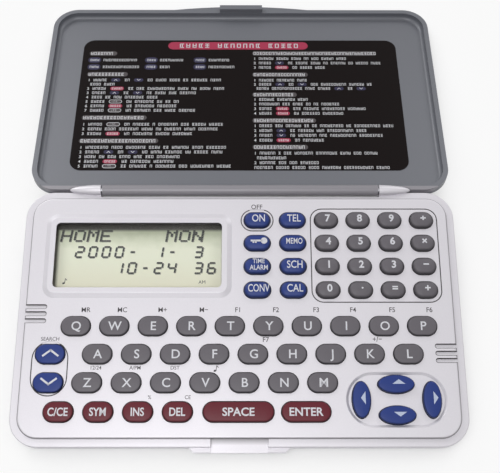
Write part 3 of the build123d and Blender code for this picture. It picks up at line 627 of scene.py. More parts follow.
class OrganizerKeys(bpy.types.Operator):
    """Moulded caps of all keys"""

    bl_idname = "organizer.keys"
    bl_label = "Key Caps"

    def execute(self, context):
        sizes, colours = settings(context.scene)
        plastics = {kind: key_plastic_with_painted_shade(f"{kind}_plastic", getattr(colours, kind))
                    for kind in ("grey_key", "blue_key", "red_key")}
        for nodes, kind, form in (
                (LETTER_ROWS, "grey_key", {}), (NUMBER_KEYS, "grey_key", {"is_tall": True}),
                (MODE_KEYS, "blue_key", {"is_tall": True}), (RED_KEYS, "red_key", {}),
                (SEARCH_KEYS, "blue_key", {}), (ARROW_KEYS, "blue_key", {"is_round": True})):
            for node in nodes:
                key_piece(node, plastics[kind], kind, sizes, **form)
        return {"FINISHED"}


class OrganizerLegends(bpy.types.Operator):
    """Letters, numbers, words and arrows printed on the keys"""

    bl_idname = "organizer.legends"
    bl_label = "Key Legends"

    def execute(self, context):
        sizes, colours = settings(context.scene)
        white = printed("white_key_ink", colours.white_ink)
        pale = printed("pale_key_ink", colours.pale_ink)
        self.white, self.ink, self.body = white, sizes.ink, 2 * sizes.tall_crown
        self.line_step = 0.42 * sizes.word_height
        for node, letters in LETTER_ROWS.items():
            shape = Shape()
            for letter, box in zip(letters, cap_boxes(node)):
                self.word(shape, letter, cap_middle(box) + LETTER_SHIFT, sizes.letter_height,
                          weight=0.012)
            shape.piece(f"{node}_legends", white, node)
        for node, text in NUMBER_KEYS.items():
            self.words(node, text, TALL_SHIFT, sizes.number_height, weight=0.03)
        for node, (text, share, stretch) in MODE_KEYS.items():
            self.words(node, text, TALL_SHIFT, share * sizes.word_height, stretch=stretch,
                       weight=0.01)
        for node, text in RED_KEYS.items():
            stretch = 1.0 if len(text) > 4 else SHORT_STRETCH
            self.words(node, text, 0, sizes.word_height, stretch=stretch, weight=0.022)
        for node, way in SEARCH_KEYS.items():
            x, v, n = key_top(node) + SEARCH_SHIFT
            width, height, line = SEARCH_SIGN
            self.sign(node, chevron(x, v, width, way * height, line), n, white)
        for node, way in ARROW_KEYS.items():
            top = key_top(node) + ARROW_SHIFT
            self.sign(node, self.triangle(top[:2], np.array(way)), top[2], pale)
        return {"FINISHED"}

    def sign(self, node, outlines, n, paint):
        """The print of one key that has a sign: outlines on top of its cap."""
        shape = Shape().plates(FACE, outlines, n - self.body / 2, n + self.ink)
        shape.piece(f"{node}_legend", paint, node)

    def word(self, shape, text, top, height, **style):
        """One word about a place on a key's top, inked from inside the cap to just over it."""
        x, v, n = top
        lettering(shape, FACE, text, x, v, n + self.ink, height, self.body, **style)

    def words(self, node, text, shift, height, **style):
        """The print of one key: its words, one to a line about its middle, or else a door key."""
        shape, top, lines = Shape(), key_top(node) + shift, text.split()
        for i, line in enumerate(lines):
            up = (len(lines) - 1 - 2 * i) * self.line_step
            self.word(shape, line, top + (0, up, 0), height, **style)
        if not lines:
            self.key_sign(shape, top)
        shape.piece(f"{node}_legend", self.white, node)

    def triangle(self, middle, way):
        """Outline of an arrow key's triangle, which points along way: its tip and its two feet."""
        half_length, half_width, forward = TRIANGLE
        ahead, side = way * half_length, np.array((-way[1], way[0])) * half_width
        middle = middle + forward * way
        return np.stack([middle + ahead, middle - ahead + side, middle - ahead - side])[None]

    def key_sign(self, shape, top):
        """A door key: a round head, a stem and two teeth, in one outline each."""
        x, v, n = top
        low, high = n + self.ink - self.body, n + self.ink
        turn = np.linspace(0, 2 * pi, 24, endpoint=False)
        place, radius = KEY_SIGN_HEAD
        head = np.stack([x + place + radius * np.cos(turn), v + radius * np.sin(turn)], 1)
        bars = rectangles(x + KEY_SIGN_BARS[0], v + KEY_SIGN_BARS[1], *KEY_SIGN_BARS[2:])
        for outlines in (head[None], bars):
            shape.plates(FACE, outlines, low, high)


def deck_level():
    """Height of the keyboard deck over its plane: the highest places near the enter key's row."""
    places = node_places("top_case", FACE)
    near = np.abs(places[:, 1] - key_top("key_enter")[1]) < 5 * MM
    return float(places[near, 2].max())


# Print on the deck: text, x and v in millimetres of each word, and x, v and height of a small note
DECK_WORDS = (("MR", -43.2, -36.55), ("MC", -33.0, -36.55), ("M+", -21.7, -36.55),
              ("M−", -10.1, -36.55), ("F1", -0.6, -36.55), ("F2", 10.2, -36.55),
              ("F3", 21.5, -36.55), ("F4", 31.9, -36.55), ("F5", 42.9, -36.55),
              ("F6", 53.4, -36.55), ("F7", 7.3, -45.1), ("+/−", 38.3, -45.0),
              ("OFF", 4.9, -5.5))
FINE_WORDS = (("12/24", -39.5, -53.0), ("A/PM", -28.8, -53.0), ("DST", -17.75, -53.0),
              ("%", -24.5, -61.1), ("CE", -14.1, -61.1), ("SEARCH", -52.7, -44.9))
DECK_NOTE = mm(-6.8, -53.2, 1.4)


def note(shape, x, v, low, high, size):
    """A quaver: an oval head turned a little, a stem and a flag, each one outline."""
    turn = np.linspace(0, 2 * pi, 16, endpoint=False)
    lean = radians(25)
    across, along = 0.28 * size * np.cos(turn), 0.2 * size * np.sin(turn)
    head = np.stack([x + across * cos(lean) - along * sin(lean),
                     v - size / 2 + across * sin(lean) + along * cos(lean)], 1)
    foot, top = (x + 0.22 * size, v - size / 2), (x + 0.36 * size, v + size / 2)
    flag = (x + 0.66 * size, v + 0.2 * size)
    for outlines in (head[None], strokes([foot, top], [top, flag], 0.13 * size)):
        shape.plates(FACE, outlines, low, high)


class OrganizerDeckPrint(bpy.types.Operator):
    """Small dark words on the keyboard deck"""

    bl_idname = "organizer.deck_print"
    bl_label = "Deck Print"

    def execute(self, context):
        sizes, colours = settings(context.scene)
        level, ink = deck_level(), sizes.ink
        shape = Shape()
        for words, height, weight in ((DECK_WORDS, sizes.deck_height, 0.006),
                                      (FINE_WORDS, 0.75 * sizes.deck_height, 0.003)):
            for text, x, v in words:
                lettering(shape, FACE, text, x * MM, v * MM, level + ink, height, 2 * ink,
                          stretch=0.95, weight=weight)
        x, v, height = DECK_NOTE
        note(shape, x, v, level - ink, level + ink, height)
        shape.piece("deck_print", printed("dark_deck_ink", colours.dark_ink_and_shade), "base")
        return {"FINISHED"}


# The display

DOT_LETTERS = {
    "H": "10001 10001 10001 11111 10001 10001 10001",
    "O": "01110 10001 10001 10001 10001 10001 01110",
    "M": "10001 11011 10101 10101 10001 10001 10001",
    "E": "11111 10000 10000 11110 10000 10000 11111",
    "N": "10001 11001 11001 10101 10011 10011 10001",
}
# Bars of a seven-bar digit: which of top, upper right, lower right, foot, lower left, upper left
# and middle are lit
DIGIT_BARS = {"0": "1111110", "1": "0110000", "2": "1101101", "3": "1111001", "4": "0110011",
              "5": "1011011", "6": "1011111", "7": "1110000", "8": "1111111", "9": "1111011",
              "-": "0000001"}
# Middle of each bar in half widths and half heights of the digit, and 1 where it lies flat
BAR_PLACES = ((0, 1, 1), (1, 0.5, 0), (1, -0.5, 0), (0, -1, 1), (-1, -0.5, 0), (-1, 0.5, 0),
              (0, 0, 1))
DISPLAY_SLANT = 0.15


def dot_row(text, column, x, v, pitch, height):
    """Outlines of the dots of a word in a grid of five by seven."""
    rows = np.array([[list(map(int, line)) for line in DOT_LETTERS[letter].split()]
                     for letter in text])
    letter, down, across = np.nonzero(rows)
    dot_pitch = pitch / 5.9
    step = height / 7
    up = (3 - down) * step
    left = x + (column + letter) * pitch + (across + 0.5) * dot_pitch + DISPLAY_SLANT * up
    return rectangles(left, v + up, 0.98 * dot_pitch, 0.9 * step, DISPLAY_SLANT)


def digit_row(text, column, x, v, pitch, height):
    """Outlines of the bars of a row of seven-bar digits; spaces leave columns empty."""
    width, bar = 0.54 * pitch, 0.14 * height
    found = []
    for i, digit in enumerate(text):
        lit = [place for place, on in zip(BAR_PLACES, DIGIT_BARS.get(digit, "")) if on == "1"]
        if not lit:
            continue
        across, up, flat = np.array(lit).T
        middle = x + (column + i + 0.5) * pitch
        share = 0.6 if digit == "-" else 0.78
        rise = up * (height - bar) / 2
        wide = np.where(flat == 1, share * width, bar)
        tall = np.where(flat == 1, bar, 0.36 * height)
        found.append(rectangles(middle + across * width / 2 + DISPLAY_SLANT * rise, v + rise, wide,
                                tall, DISPLAY_SLANT))
    return np.concatenate(found)


# Rows of the display and its small marks: kind, text, first column and v in millimetres of each
# row, and x, v and height of each mark
DISPLAY_ROWS = ((dot_row, "HOME", 0, -13.9), (dot_row, "MON", 8, -13.9),
                (digit_row, "2000- 1- 3", 1, -18.85), (digit_row, "10-24 36", 4, -23.7))
DISPLAY_LEFT = -52.1 * MM
MORNING_MARK = mm(-10.9, -27.9, 1.05)
ALARM_MARK = mm(-50.5, -27.6, 1.35)


class OrganizerDisplay(bpy.types.Operator):
    """Glass, ground and lit marks of the display"""

    bl_idname = "organizer.display"
    bl_label = "Display"

    def execute(self, context):
        sizes, colours = settings(context.scene)
        self.ground(sizes, colours)
        self.window()
        level = extent("lcd_panel", FACE)[1][2]
        cast_low, cast_high, low, high = level + np.array((0.002, 0.006, 0.01, 0.02)) * MM
        lit = np.concatenate([row(text, column, DISPLAY_LEFT, v * MM, sizes.digit_pitch,
                                  sizes.digit_height) for row, text, column, v in DISPLAY_ROWS])
        shape = Shape().plates(FACE, lit, low, high)
        x, v, height = MORNING_MARK
        lettering(shape, FACE, "AM", x, v, high, height, high - low)
        x, v, height = ALARM_MARK
        note(shape, x, v, low, high, height)
        shape.piece("display_marks", printed("display_segment", colours.segment, 0.35), "base",
                    "lcd_glass")
        cast = np.array((0.16, -0.2)) * MM
        Shape().plates(FACE, lit + cast, cast_low, cast_high).piece(
            "display_cast", self.veil(colours), "base", "lcd_glass")
        return {"FINISHED"}

    def ground(self, sizes, colours):
        """The panel's ground: darker and greener at the top, a painted shade under the window's top
        wall;
        cream at the foot, faint blotches, and painted shade where the walls of the window opening
        keep the light off."""
        paint = Paint("display_ground", IOR=1.4, Roughness=0.4)
        low, high = extent("display_window", FACE)
        left = float(low[0]) + sizes.lens_overlap
        right, top, _ = (high - sizes.lens_overlap).tolist()
        x, v, _ = paint.along(FACE)
        blotch = paint.grain(2.5 * MM, 3.0)
        # Painted shade: darker and greener over the 9 mm below the top edge of the window.
        share = ((top - v) / (9 * MM) + blotch * 0.4).below(1.0)
        base = paint.blend(share, colours.display_top_shade, colours.display)
        foot = ((top - v) / (10 * MM) - 1.0).share()
        base = paint.blend(foot * 0.8, base, colours.display_foot)
        # Along the top, left and right: the way in, where the painted shade starts, its reach and
        # strength
        borders = ((top - v, 1.1, 0.8, 0.95), (x - left, 0.1, 0.9, 0.8), (right - x, 0.0, 0.4, 0.6))
        dark = strongest((1.0 - (inward - start * MM) / (reach * MM)).share() * strength
                         for inward, start, reach, strength in borders)
        paint.drive(Base_Color=paint.blend(dark, base, colours.opening_shade))
        finish(paint, "lcd_panel")

    def window(self):
        """The clear window: smooth glass that lets lamp light through to the panel."""
        paint = Paint("display_window_clear", Transmission_Weight=1.0, IOR=1.3, Base_Color=WHITE)
        paint.drive(Roughness=paint.grain(6 * MM) * 0.03 + 0.02)
        clear = paint.value("BsdfTransparent", {}, {"Color": WHITE})
        paint.cover(paint.value("MixShader", {}, {0: paint.rays("Shadow", "Diffuse"),
                                                  1: paint.surface, 2: clear}))
        finish(paint, "display_window")

    def veil(self, colours):
        """The faint shadow that the marks cast on the ground behind the glass."""
        paint = Paint("display_veil", IOR=1.45, Roughness=0.6, Alpha=0.22)
        paint.drive(Base_Color=paint.blend(paint.grain(0.4 * MM), colours.segment,
                                           shade(colours.segment, 1.6)))
        return paint


# The printed card in the lid, with places in millimetres on the lid's plane. Each block says where
# its heading stands, how many marks the heading is wide, where its first line stands and how far
# apart its lines are, and gives the lines. In a line, # is its number, a number is a word of so many
# marks, > is an indent, and a letter is a label: r and R red, u and d blue with an arrow head up or
# down, o outlined.

LEFT_BLOCKS = (
    (56.5, 8, 0.0, 0.0, ()),
    (47.4, 12, 44.95, 1.81, ("# 5 u 2 d 2 4 4 2 6 4", "> 4 4", "# 5 R 2 3 10 4 2 4 4",
                             "# 5 u 2 d 2 4 3 6", "# 4 2 3 7 4", "# 5 o 2 7 2 2 2", "# 5 R 2 7 7",
                             "# 5 o 2 6 3 4 6")),
    (29.3, 19, 26.65, 1.86, ("# 5 o 2 6 1 7 3 5 5", "# 5 4 7 4 2 6 4 7", "# 5 R 2 7 5 7")),
    (20.1, 23, 17.6, 1.79, ("# 8 4 7 4 2 6 4 7", "# 5 u 2 d 2 4 6 2 5 4", "# 4 2 3 4 3 3 8",
                            "# 5 R 2 7 7", "# 5 o 2 6 1 7 3 8 5")),
)
RIGHT_BLOCKS = (
    (56.6, 42, 54.3, 1.95, ("# 6 5 4 2 3 5 4", "# 5 d 2 5 4 2 6 2 5 4", "# 5 R 2 5 4")),
    (47.3, 18, 44.9, 1.75, ("# 6 7 4", "# 5 u 2 d 3 10 6 2", "> 5 12 4 5 u 2 d")),
    (38.8, 14, 36.8, 1.9, ("# 6 7 4", "# 8 3 4 2 2 7", "# 5 r 3 6 9 7", "# 5 R 2 7 8")),
    (28.2, 20, 26.1, 1.9, ("# 5 3 6 2 2 9 2 10 4", "# 5 u 2 6 3 10 4", "# 5 d 2 7 3 10 9",
                           "# 5 R 2 8")),
    (17.7, 17, 15.4, 1.82, ("# 6 1 3 7 8 4 3 5", "> 11", "# 6 3 3 7", "7 5 5 4 7 11 5")),
)
LABEL_WIDTHS = {"r": 4.2, "R": 4.4, "u": 3.0, "d": 3.0, "o": 4.2}
LABEL_LINE = 0.36 * MM                   # of both sides of an outlined label together
LABEL_ARROW = mm(0.9, 0.45, 0.2)         # width, height and stroke
COLUMN_LEFTS = mm(-49.05, 4.6)
TITLE_PILL = mm(-0.95, 60.0, 46.4, 3.3)  # middle, width and height
TITLE_SIGNS = (-19.6, 18.3, 19, (5, 13))  # first, last, how many places, and those left empty
TITLE_MARK = mm(1.9, 1.75)               # height and pitch of its marks
MODE_ROWS = ((53.6, (13, 9, 8)), (50.6, (14, 4, 10)))  # v, and the marks beside each picture
MODE_LEFTS = mm(-50.2, -31.6, -15.6)
# Small signs of the card: the uprights of each as shares of its width, its levels of its height
SIGNS = (((-0.36, 0.36), (0.42, -0.42)), ((-0.36, 0.36), (0.42,)), ((0.0,), (0.42, 0.0, -0.42)),
         ((-0.36, 0.36), (-0.42, 0.0)), ((-0.36, 0.1), (0.42, -0.42)))


class OrganizerCardPrint(bpy.types.Operator):
    """Title, headings, labels and lines printed on the card in the lid"""

    bl_idname = "organizer.card_print"
    bl_label = "Card Print"

    def execute(self, context):
        sizes, colours = settings(context.scene)
        self.pitch, self.height = sizes.left_pitch, sizes.line_height
        self.level = extent("reference_card", LID)[1][2]
        self.chance = np.random.default_rng(7)
        self.white, self.red, self.blue, self.grey = Shape(), Shape(), Shape(), Shape()
        self.title()
        for blocks, left, self.pitch in zip(
                (LEFT_BLOCKS, RIGHT_BLOCKS), COLUMN_LEFTS, (sizes.left_pitch, sizes.right_pitch)):
            for heading, count, first, step, lines in blocks:
                self.heading(left, heading * MM, count)
                number = 0
                for i, line in enumerate(lines):
                    number += line.startswith("#")
                    self.line(left, (first - i * step) * MM, line.replace("#", f"#{number}"))
        self.pitch = sizes.left_pitch
        self.modes()
        for name, shape, tone in (
                ("card_lines", self.white, colours.card_white),
                ("card_red_labels", self.red, colours.card_red),
                ("card_blue_labels", self.blue, colours.card_blue),
                ("card_headings", self.grey, colour(78, 72, 74))):
            shape.piece(name, printed(f"{name}_ink", tone), "lid", "black_card")
        return {"FINISHED"}

    def lay(self, ink, outlines, layer):
        """Prints outlines in one ink, with label grounds as layer 0 and what is on them as 1."""
        ink.plates(LID, outlines, self.level + (0.004 + 0.008 * layer) * MM,
                   self.level + (0.01 + 0.008 * layer) * MM)

    def marks(self, x, v, height, pitch):
        """Small signs that stand for writing, of kinds taken by chance: each is a set of uprights
        and levels on a little frame, none of them a letter."""
        kinds = self.chance.integers(0, len(SIGNS), len(x))
        bars = []
        for kind, (uprights, levels) in enumerate(SIGNS):
            at = x[kinds == kind]
            bars += [rectangles(at + part * 0.8 * pitch, v, 0.19 * pitch, height)
                     for part in uprights]
            bars += [rectangles(at, v + part * height, 0.78 * pitch, 0.17 * height)
                     for part in levels]
        self.lay(self.white, np.concatenate(bars), 1)

    def run(self, x, v, count, size=1.0):
        """One word of as many marks as asked."""
        pitch = self.pitch * size
        self.marks(x + np.arange(count) * pitch, v, self.height * size, pitch)

    def label(self, kind, x, v):
        """One label about its left end: filled red or blue, or outlined."""
        width = LABEL_WIDTHS[kind] * MM
        middle = x + width / 2 - self.pitch / 2
        if kind == "o":
            tall = 1.45 * self.height
            self.lay(self.white, pills(middle, v, width, tall), 0)
            self.lay(self.grey, pills(middle, v, width - LABEL_LINE, tall - LABEL_LINE), 1)
            self.run(middle - self.pitch, v, 3, 0.7)
        elif kind in "ud":
            self.lay(self.blue, pills(middle, v, width, 1.3 * self.height), 0)
            arrow_width, arrow_height, stroke = LABEL_ARROW
            way = 1 if kind == "u" else -1
            self.lay(self.white, chevron(middle, v, arrow_width, way * arrow_height, stroke), 1)
        else:
            self.lay(self.red, pills(middle, v, width, 1.4 * self.height), 0)
            self.run(middle - 1.6 * self.pitch, v, 5, 0.8)
        return width

    def line(self, x, v, text):
        """One line: its number, words and labels from left to right, a gap of one pitch after each
        and half a pitch more at both ends of a label."""
        for word in text.split():
            if word in LABEL_WIDTHS:
                x += 0.5 * self.pitch
                x += self.label(word, x, v) + 0.5 * self.pitch
            elif word[0] == "#":
                lettering(self.white, LID, word[1:], x, v, self.level + 0.018 * MM, self.height,
                          0.006 * MM, weight=0.02)
                x += self.pitch
            elif word != ">":
                self.run(x, v, int(word))
                x += int(word) * self.pitch
            x += self.pitch

    def heading(self, x, v, count):
        """A heading: larger marks on a grey pill."""
        width = (1.16 * count + 1.0) * self.pitch
        self.lay(self.grey, pills(x + width / 2 - self.pitch, v, width, 1.75 * self.height), 0)
        self.run(x, v, count - 1, 1.2)

    def title(self):
        """The wide red pill at the top of the card, with spaced marks in three words."""
        middle, v, width, height = TITLE_PILL
        self.lay(self.red, pills(middle, v, width, height), 0)
        first, last, count, empty = TITLE_SIGNS
        self.marks(np.delete(np.linspace(first, last, count) * MM, empty), v, *TITLE_MARK)

    def modes(self):
        """Two rows of blue key pictures, each with a word beside it."""
        for v, counts in MODE_ROWS:
            for x, count in zip(MODE_LEFTS, counts):
                self.lay(self.blue, pills(x + 2.2 * MM, v * MM, 4.2 * MM, 2.3 * MM), 0)
                self.run(x + 1.1 * MM, v * MM, 4, 0.85)
                self.run(x + 5.4 * MM, v * MM, count, 0.97)


# What the paint on the deck follows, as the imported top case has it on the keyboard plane.
# Grooves round the numbers, the ON key and the search keys: width, height and corner radius, and
# for the search keys the height is what the groove has over the distance of its keys
NUMBER_GROOVE = mm(37.1, 28.5, 3.5)
ON_GROOVE = mm(9.6, 6.8, 3.39)
SEARCH_GROOVE = mm(10.2, 7.5, 5.09)
GROOVE_WIDTH = 0.3 * MM
# Finger grips of three slots: a slot's width, height and end radius, then the slots' pitch, how far
# their middle lies inside the side of the case, and the reach of the painted shade line round each
# slot; and for each grip its side, the row of keys beside it and how far it stands above that row
GRIP_SLOT = mm(12.0, 1.15, 0.57)
GRIP_PITCH, GRIP_INSET, GRIP_SHADE_LINE = mm(2.03, 2.15, 0.12)
GRIP_ROWS = ((-1, "letter_keys_top", 3.63 * MM), (1, "letter_keys_home", 0.26 * MM))
# Corner radius of the case, then where the deck's edge lies: inside the case's outline, above its
# rim and short of the hinge axis
CASE_RADIUS, DECK_INSET, DECK_RISE, HINGE_GAP = mm(9.0, 4.7, 0.97, 1.7)
# Half the width of the latch notch, and its depth below the deck
NOTCH_HALF, NOTCH_DEPTH = mm(7.8, 2.6)
# Window opening: its distance inside the window's sides, corner radius and rise over the deck
OPENING_MARGIN, OPENING_RADIUS, OPENING_RISE = mm(0.95, 1.4, 0.68)


class OrganizerFinishes(bpy.types.Operator):
    """Materials of the case, the lid and everything inside"""

    bl_idname = "organizer.finishes"
    bl_label = "Case Finishes"

    def execute(self, context):
        colours = context.scene.organizer_colours
        finish(self.deck(colours), "top_case")
        finish(moulded("silver_case", colours.silver, 0.45, metallic=0.3), "bottom_case",
               "battery_cover")
        finish(self.lid(colours), "lid_shell")
        finish(moulded("black_card_stock", colours.card, 0.45, grain=0.2 * MM, contrast=0.08,
                       depth=0.004 * MM, gloss=0.06), "reference_card")
        finish(moulded("black_holder", colour(40, 40, 42), 0.5), "display_frame")
        finish(moulded("grey_rubber", colour(150, 150, 152), 0.6, depth=0.02 * MM), "keypad_mat",
               "contact_strip")
        finish(self.board(), "circuit_board")
        finish(moulded("black_resin_drop", colour(22, 22, 24), 0.25, grain=1.2 * MM), "board_chips")
        finish(metal("steel_plate", colour(196, 198, 202), 0.32, 0.5 * MM), "coin_cell",
               "clock_crystal", "battery_contacts", "case_screws", "hinge_pins")
        finish(metal("brass_disc", colour(208, 176, 104), 0.34, 0.6 * MM), "buzzer_disc")
        return {"FINISHED"}

    def deck(self, colours):
        """Silver deck, dark in its grooves; painted shade in its key holes and latch notch, round its
        finger grips and at its foot; and painted shade on the walls of the window opening."""
        paint = moulded("silver_deck", colours.silver, 0.44, metallic=0.3)
        place, level = paint.along(FACE), deck_level()
        dark = strongest((*self.grooves(place, level), *self.grips(place, level),
                          *self.shades(paint, place, level)))
        # Ink in the grooves, and painted shade at the grips, key holes, foot and notch, all in the
        # dark ink colour.
        base = paint.blend(dark, paint.base_colour(), colours.dark_ink_and_shade)
        # Painted shade: the walls of the window opening take a dark colour.
        paint.drive(Base_Color=paint.blend(self.opening(place, level), base, colours.opening_shade))
        return paint

    def grooves(self, place, level):
        """Masks of the three grooves, two of them broken at the word that stands in them."""
        x, v, n = place
        words = {text: (across * MM, along * MM) for text, across, along in DECK_WORDS + FINE_WORDS}
        up, down = (key_top(node) for node in SEARCH_KEYS)
        width, height, radius = SEARCH_GROOVE
        tall = height + float(up[1] - down[1])
        half = GROOVE_WIDTH / 2
        for centre, size, word in (
                ((key_top("key_7") + key_top("key_plus")) / 2, NUMBER_GROOVE, None),
                (key_top("key_on"), ON_GROOVE, "OFF"),
                ((up + down) / 2, (width, tall, radius), "SEARCH")):
            past = frame_distance(x, v, centre, *size)
            line = (abs(past + half) < half * 1.1) * (n < level - 0.02 * MM)
            if word:
                at = words[word]
                near = abs(x - at[0]) < (0.4 * len(word) + 0.9) * MM
                line = line * (1.0 - near * (abs(v - at[1]) < 1.4 * MM))
            yield line

    def grips(self, place, level):
        """Masks of painted shade: a thin dark line round each slot of the finger grips, where its
        edge lies in shade.
        """
        x, v, n = place
        edge = extent("top_case", FACE)[1][0] - GRIP_INSET
        for side, row, shift in GRIP_ROWS:
            for step in (-1, 0, 1):
                centre = (side * edge, key_top(row)[1] + shift + step * GRIP_PITCH)
                past = frame_distance(x, v, centre, *GRIP_SLOT)
                yield (abs(past) < GRIP_SHADE_LINE) * (n > level - 0.6 * MM)

    def shades(self, paint, place, level):
        """Masks of the places that little light reaches: the walls of the key holes, the foot of
        the deck, and the wall of the latch notch."""
        x, v, n = place
        low, high = extent("top_case", FACE)
        width, height, _ = high - low
        past = frame_distance(x, v, (low + high) / 2, width, height, CASE_RADIUS)
        outside = past > -DECK_INSET
        lean = abs(paint.lean(FACE))
        foot = level - DECK_RISE
        yield (lean < 0.4) * (n < level - 0.05 * MM) * (1.0 - outside)
        yield ((0.97 - lean) / 0.2).share() * outside * (n > foot) * (v < -HINGE_GAP) * 0.6
        case = node_places("top_case", FACE)
        corners = case[(abs(abs(case[:, 0]) - NOTCH_HALF) < 0.02 * MM)
                       & (abs(case[:, 2] - (level - NOTCH_DEPTH)) < 0.02 * MM)]
        near = 1.0 - (abs(v - float(corners[:, 1].max())) / (1.7 * MM)).below(1.0)
        yield near * (abs(x) < NOTCH_HALF + 0.05 * MM) * (n < foot) * 0.7

    def opening(self, place, level):
        """Mask of the painted shade in the window opening: its walls, up to just under the top of its
        border.
        """
        x, v, n = place
        low, high = extent("display_window", FACE)
        width, height, _ = high - low - 2 * OPENING_MARGIN
        past = frame_distance(x, v, (low + high) / 2, width, height, OPENING_RADIUS)
        return (past < 0.0) * (n < level + OPENING_RISE)

    def lid(self, colours):
        """Grey lid painted lighter near the hinge axis: a painted highlight on the round hinge part,
        which catches the light.
        """
        paint = moulded("grey_lid", colours.grey, 0.4, metallic=0.1)
        _, v, n = paint.along(LID)
        # Painted highlight: the round part within 1.65 mm of the hinge axis takes a lighter grey.
        barrel_highlight = (v ** 2 + n ** 2) ** 0.5 < 1.65 * MM
        paint.drive(Base_Color=paint.blend(barrel_highlight, paint.base_colour(), colours.barrel_highlight))
        return paint

    def board(self):
        """Green board: solder mask with fine darker tracks across and along."""
        paint = Paint("green_board", IOR=1.5, Coat_Weight=0.3)
        track = paint.value("TexBrick", {"offset": 0.5}, {
            "Vector": paint.place, "Scale": 220.0, "Mortar Size": 0.06, "Color1": (0, 0, 0, 1),
            "Color2": (0, 0, 0, 1), "Mortar": WHITE}, "Fac")
        base = paint.blend(track, colour(34, 96, 62), colour(52, 122, 78))
        paint.drive(Base_Color=paint.blend(paint.grain(5 * MM) * 0.4, base, colour(26, 80, 52)),
                    Roughness=paint.grain(8 * MM) * 0.1 + 0.3)
        return paint


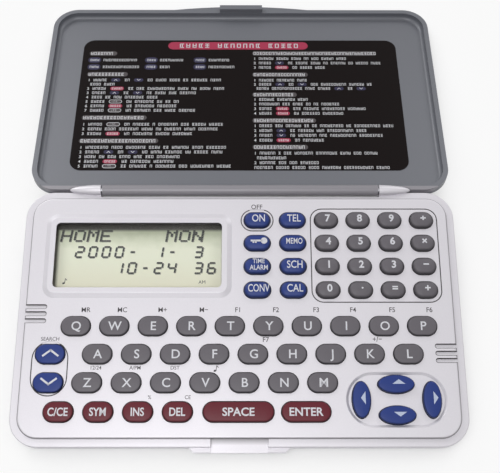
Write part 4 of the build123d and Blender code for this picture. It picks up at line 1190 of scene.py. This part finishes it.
class OrganizerStage(bpy.types.Operator):
    """Pale floor, soft lamps and the camera over the keyboard"""

    bl_idname = "organizer.stage"
    bl_label = "Stage"

    def execute(self, context):
        scene = context.scene
        studio = scene.organizer_studio
        self.camera(scene, studio)
        self.floor(scene, studio)
        self.world(scene, studio)
        self.lamp(scene, "top_lamp", studio.top_lamp, 0.14, (-0.05, -0.11, 0.34))
        self.lamp(scene, "left_lamp", studio.left_lamp, 0.25, (-0.33, 0.42, 0.38))
        self.lamp(scene, "right_lamp", studio.right_lamp, 0.25, (0.33, 0.42, 0.38))
        scene.view_settings.view_transform = "Standard"
        return {"FINISHED"}

    def camera(self, scene, studio):
        """Camera whose right, up and forward ways are the keyboard's x, v and downward ways,
        leaned by the tilt and turned by yaw and roll."""
        lean, yaw, roll = studio.tilt, studio.yaw, studio.roll
        base = np.array([(1, 0, 0), (0, cos(lean), sin(lean)), (0, sin(lean), -cos(lean))])
        turn, spin = (np.array([(cos(angle), -sin(angle), 0), (sin(angle), cos(angle), 0), (0, 0, 1)])
                      for angle in (yaw, roll))
        right, up, forward = spin @ base @ turn @ FACE.axes
        matrix = np.eye(4)
        matrix[:3, :3] = np.stack([right, up, -forward], axis=1)
        matrix[:3, 3] = FACE.world(studio.across, studio.along, studio.above)
        lens = bpy.data.cameras.new("camera")
        lens.lens = studio.lens
        camera = bpy.data.objects.new("camera", lens)
        camera.matrix_world = Matrix(matrix.tolist())
        scene.collection.objects.link(camera)
        scene.camera = camera

    def floor(self, scene, studio):
        """A wide floor that shows near white with the object's shadow left on it; the white fades
        out where something stands close over the floor, so that the ground there stays dark."""
        reach, level = 3.0, -0.05 * MM
        mesh = bpy.data.meshes.new("floor")
        corners = [(-reach, -reach, level), (reach, -reach, level), (reach, reach, level),
                   (-reach, reach, level)]
        mesh.from_pydata(corners, [], [(0, 1, 2, 3)])
        paint = Paint("floor", Roughness=0.9, Specular_IOR_Level=0.1)
        paint.drive(Base_Color=paint.blend(paint.grain(0.08), colour(244, 244, 245),
                                           colour(250, 250, 250)))
        open_sky = paint.value("AmbientOcclusion", {"samples": 8}, {"Distance": 14 * MM}, "AO")
        glow = paint.value("Emission", {}, {"Color": WHITE, "Strength": 1.0})
        white = paint.backdrop_rays() * ((open_sky - 0.15) / 0.65).share() * studio.floor_white
        paint.cover(paint.value("MixShader", {}, {0: white, 1: paint.surface, 2: glow}))
        mesh.materials.append(paint.material)
        floor = bpy.data.objects.new("floor", mesh)
        scene.collection.objects.link(floor)

    def world(self, scene, studio):
        """White to the camera and in reflections, and a softer light on everything else."""
        world = bpy.data.worlds.new("world")
        sky = Nodes(world)
        soft = sky.value("Background", {}, {"Color": WHITE, "Strength": studio.sky})
        white = sky.value("Background", {}, {"Color": WHITE, "Strength": 1.0})
        mixed = sky.value("MixShader", {}, {0: sky.backdrop_rays(), 1: soft, 2: white})
        sky.node("OutputWorld", {}, {"Surface": mixed})
        scene.world = world

    def lamp(self, scene, name, watts, size, place):
        """A square soft box that faces the middle of the keyboard."""
        light = bpy.data.lights.new(name, "AREA")
        light.energy = watts
        light.size = size
        lamp = bpy.data.objects.new(name, light)
        lamp.location = place
        lamp.rotation_mode = "QUATERNION"
        lamp.rotation_quaternion = Vector(place).to_track_quat("Z", "Y")
        scene.collection.objects.link(lamp)


class OrganizerPanel(bpy.types.Panel):
    """Sizes, colours and steps of the organizer"""

    bl_idname = "VIEW3D_PT_organizer"
    bl_label = "Pocket Organizer"
    bl_space_type = "VIEW_3D"
    bl_region_type = "UI"
    bl_category = "Organizer"

    def draw(self, context):
        layout = self.layout
        for attribute, group in GROUPS:
            box = layout.box()
            for name in group.__annotations__:
                box.prop(getattr(context.scene, attribute), name)
        for operator in OPERATORS:
            layout.operator(operator.bl_idname)


OPERATORS = (OrganizerStage, OrganizerFinishes, OrganizerKeys, OrganizerLegends, OrganizerDeckPrint,
             OrganizerDisplay, OrganizerCardPrint)


def register():
    """Makes the property groups, the operators and the panel known to Blender."""
    for _, group in GROUPS:
        bpy.utils.register_class(group)
    for attribute, group in GROUPS:
        setattr(bpy.types.Scene, attribute, PointerProperty(type=group))
    for operator in OPERATORS:
        bpy.utils.register_class(operator)
    bpy.utils.register_class(OrganizerPanel)


def unregister():
    """Takes back everything that register made known."""
    bpy.utils.unregister_class(OrganizerPanel)
    for operator in reversed(OPERATORS):
        bpy.utils.unregister_class(operator)
    for attribute, group in reversed(GROUPS):
        delattr(bpy.types.Scene, attribute)
        bpy.utils.unregister_class(group)


def main():
    """Builds the scene."""
    register()
    for operator in OPERATORS:
        section, step = operator.bl_idname.split(".")
        getattr(getattr(bpy.ops, section), step)()


if __name__ == "__main__":
    main()
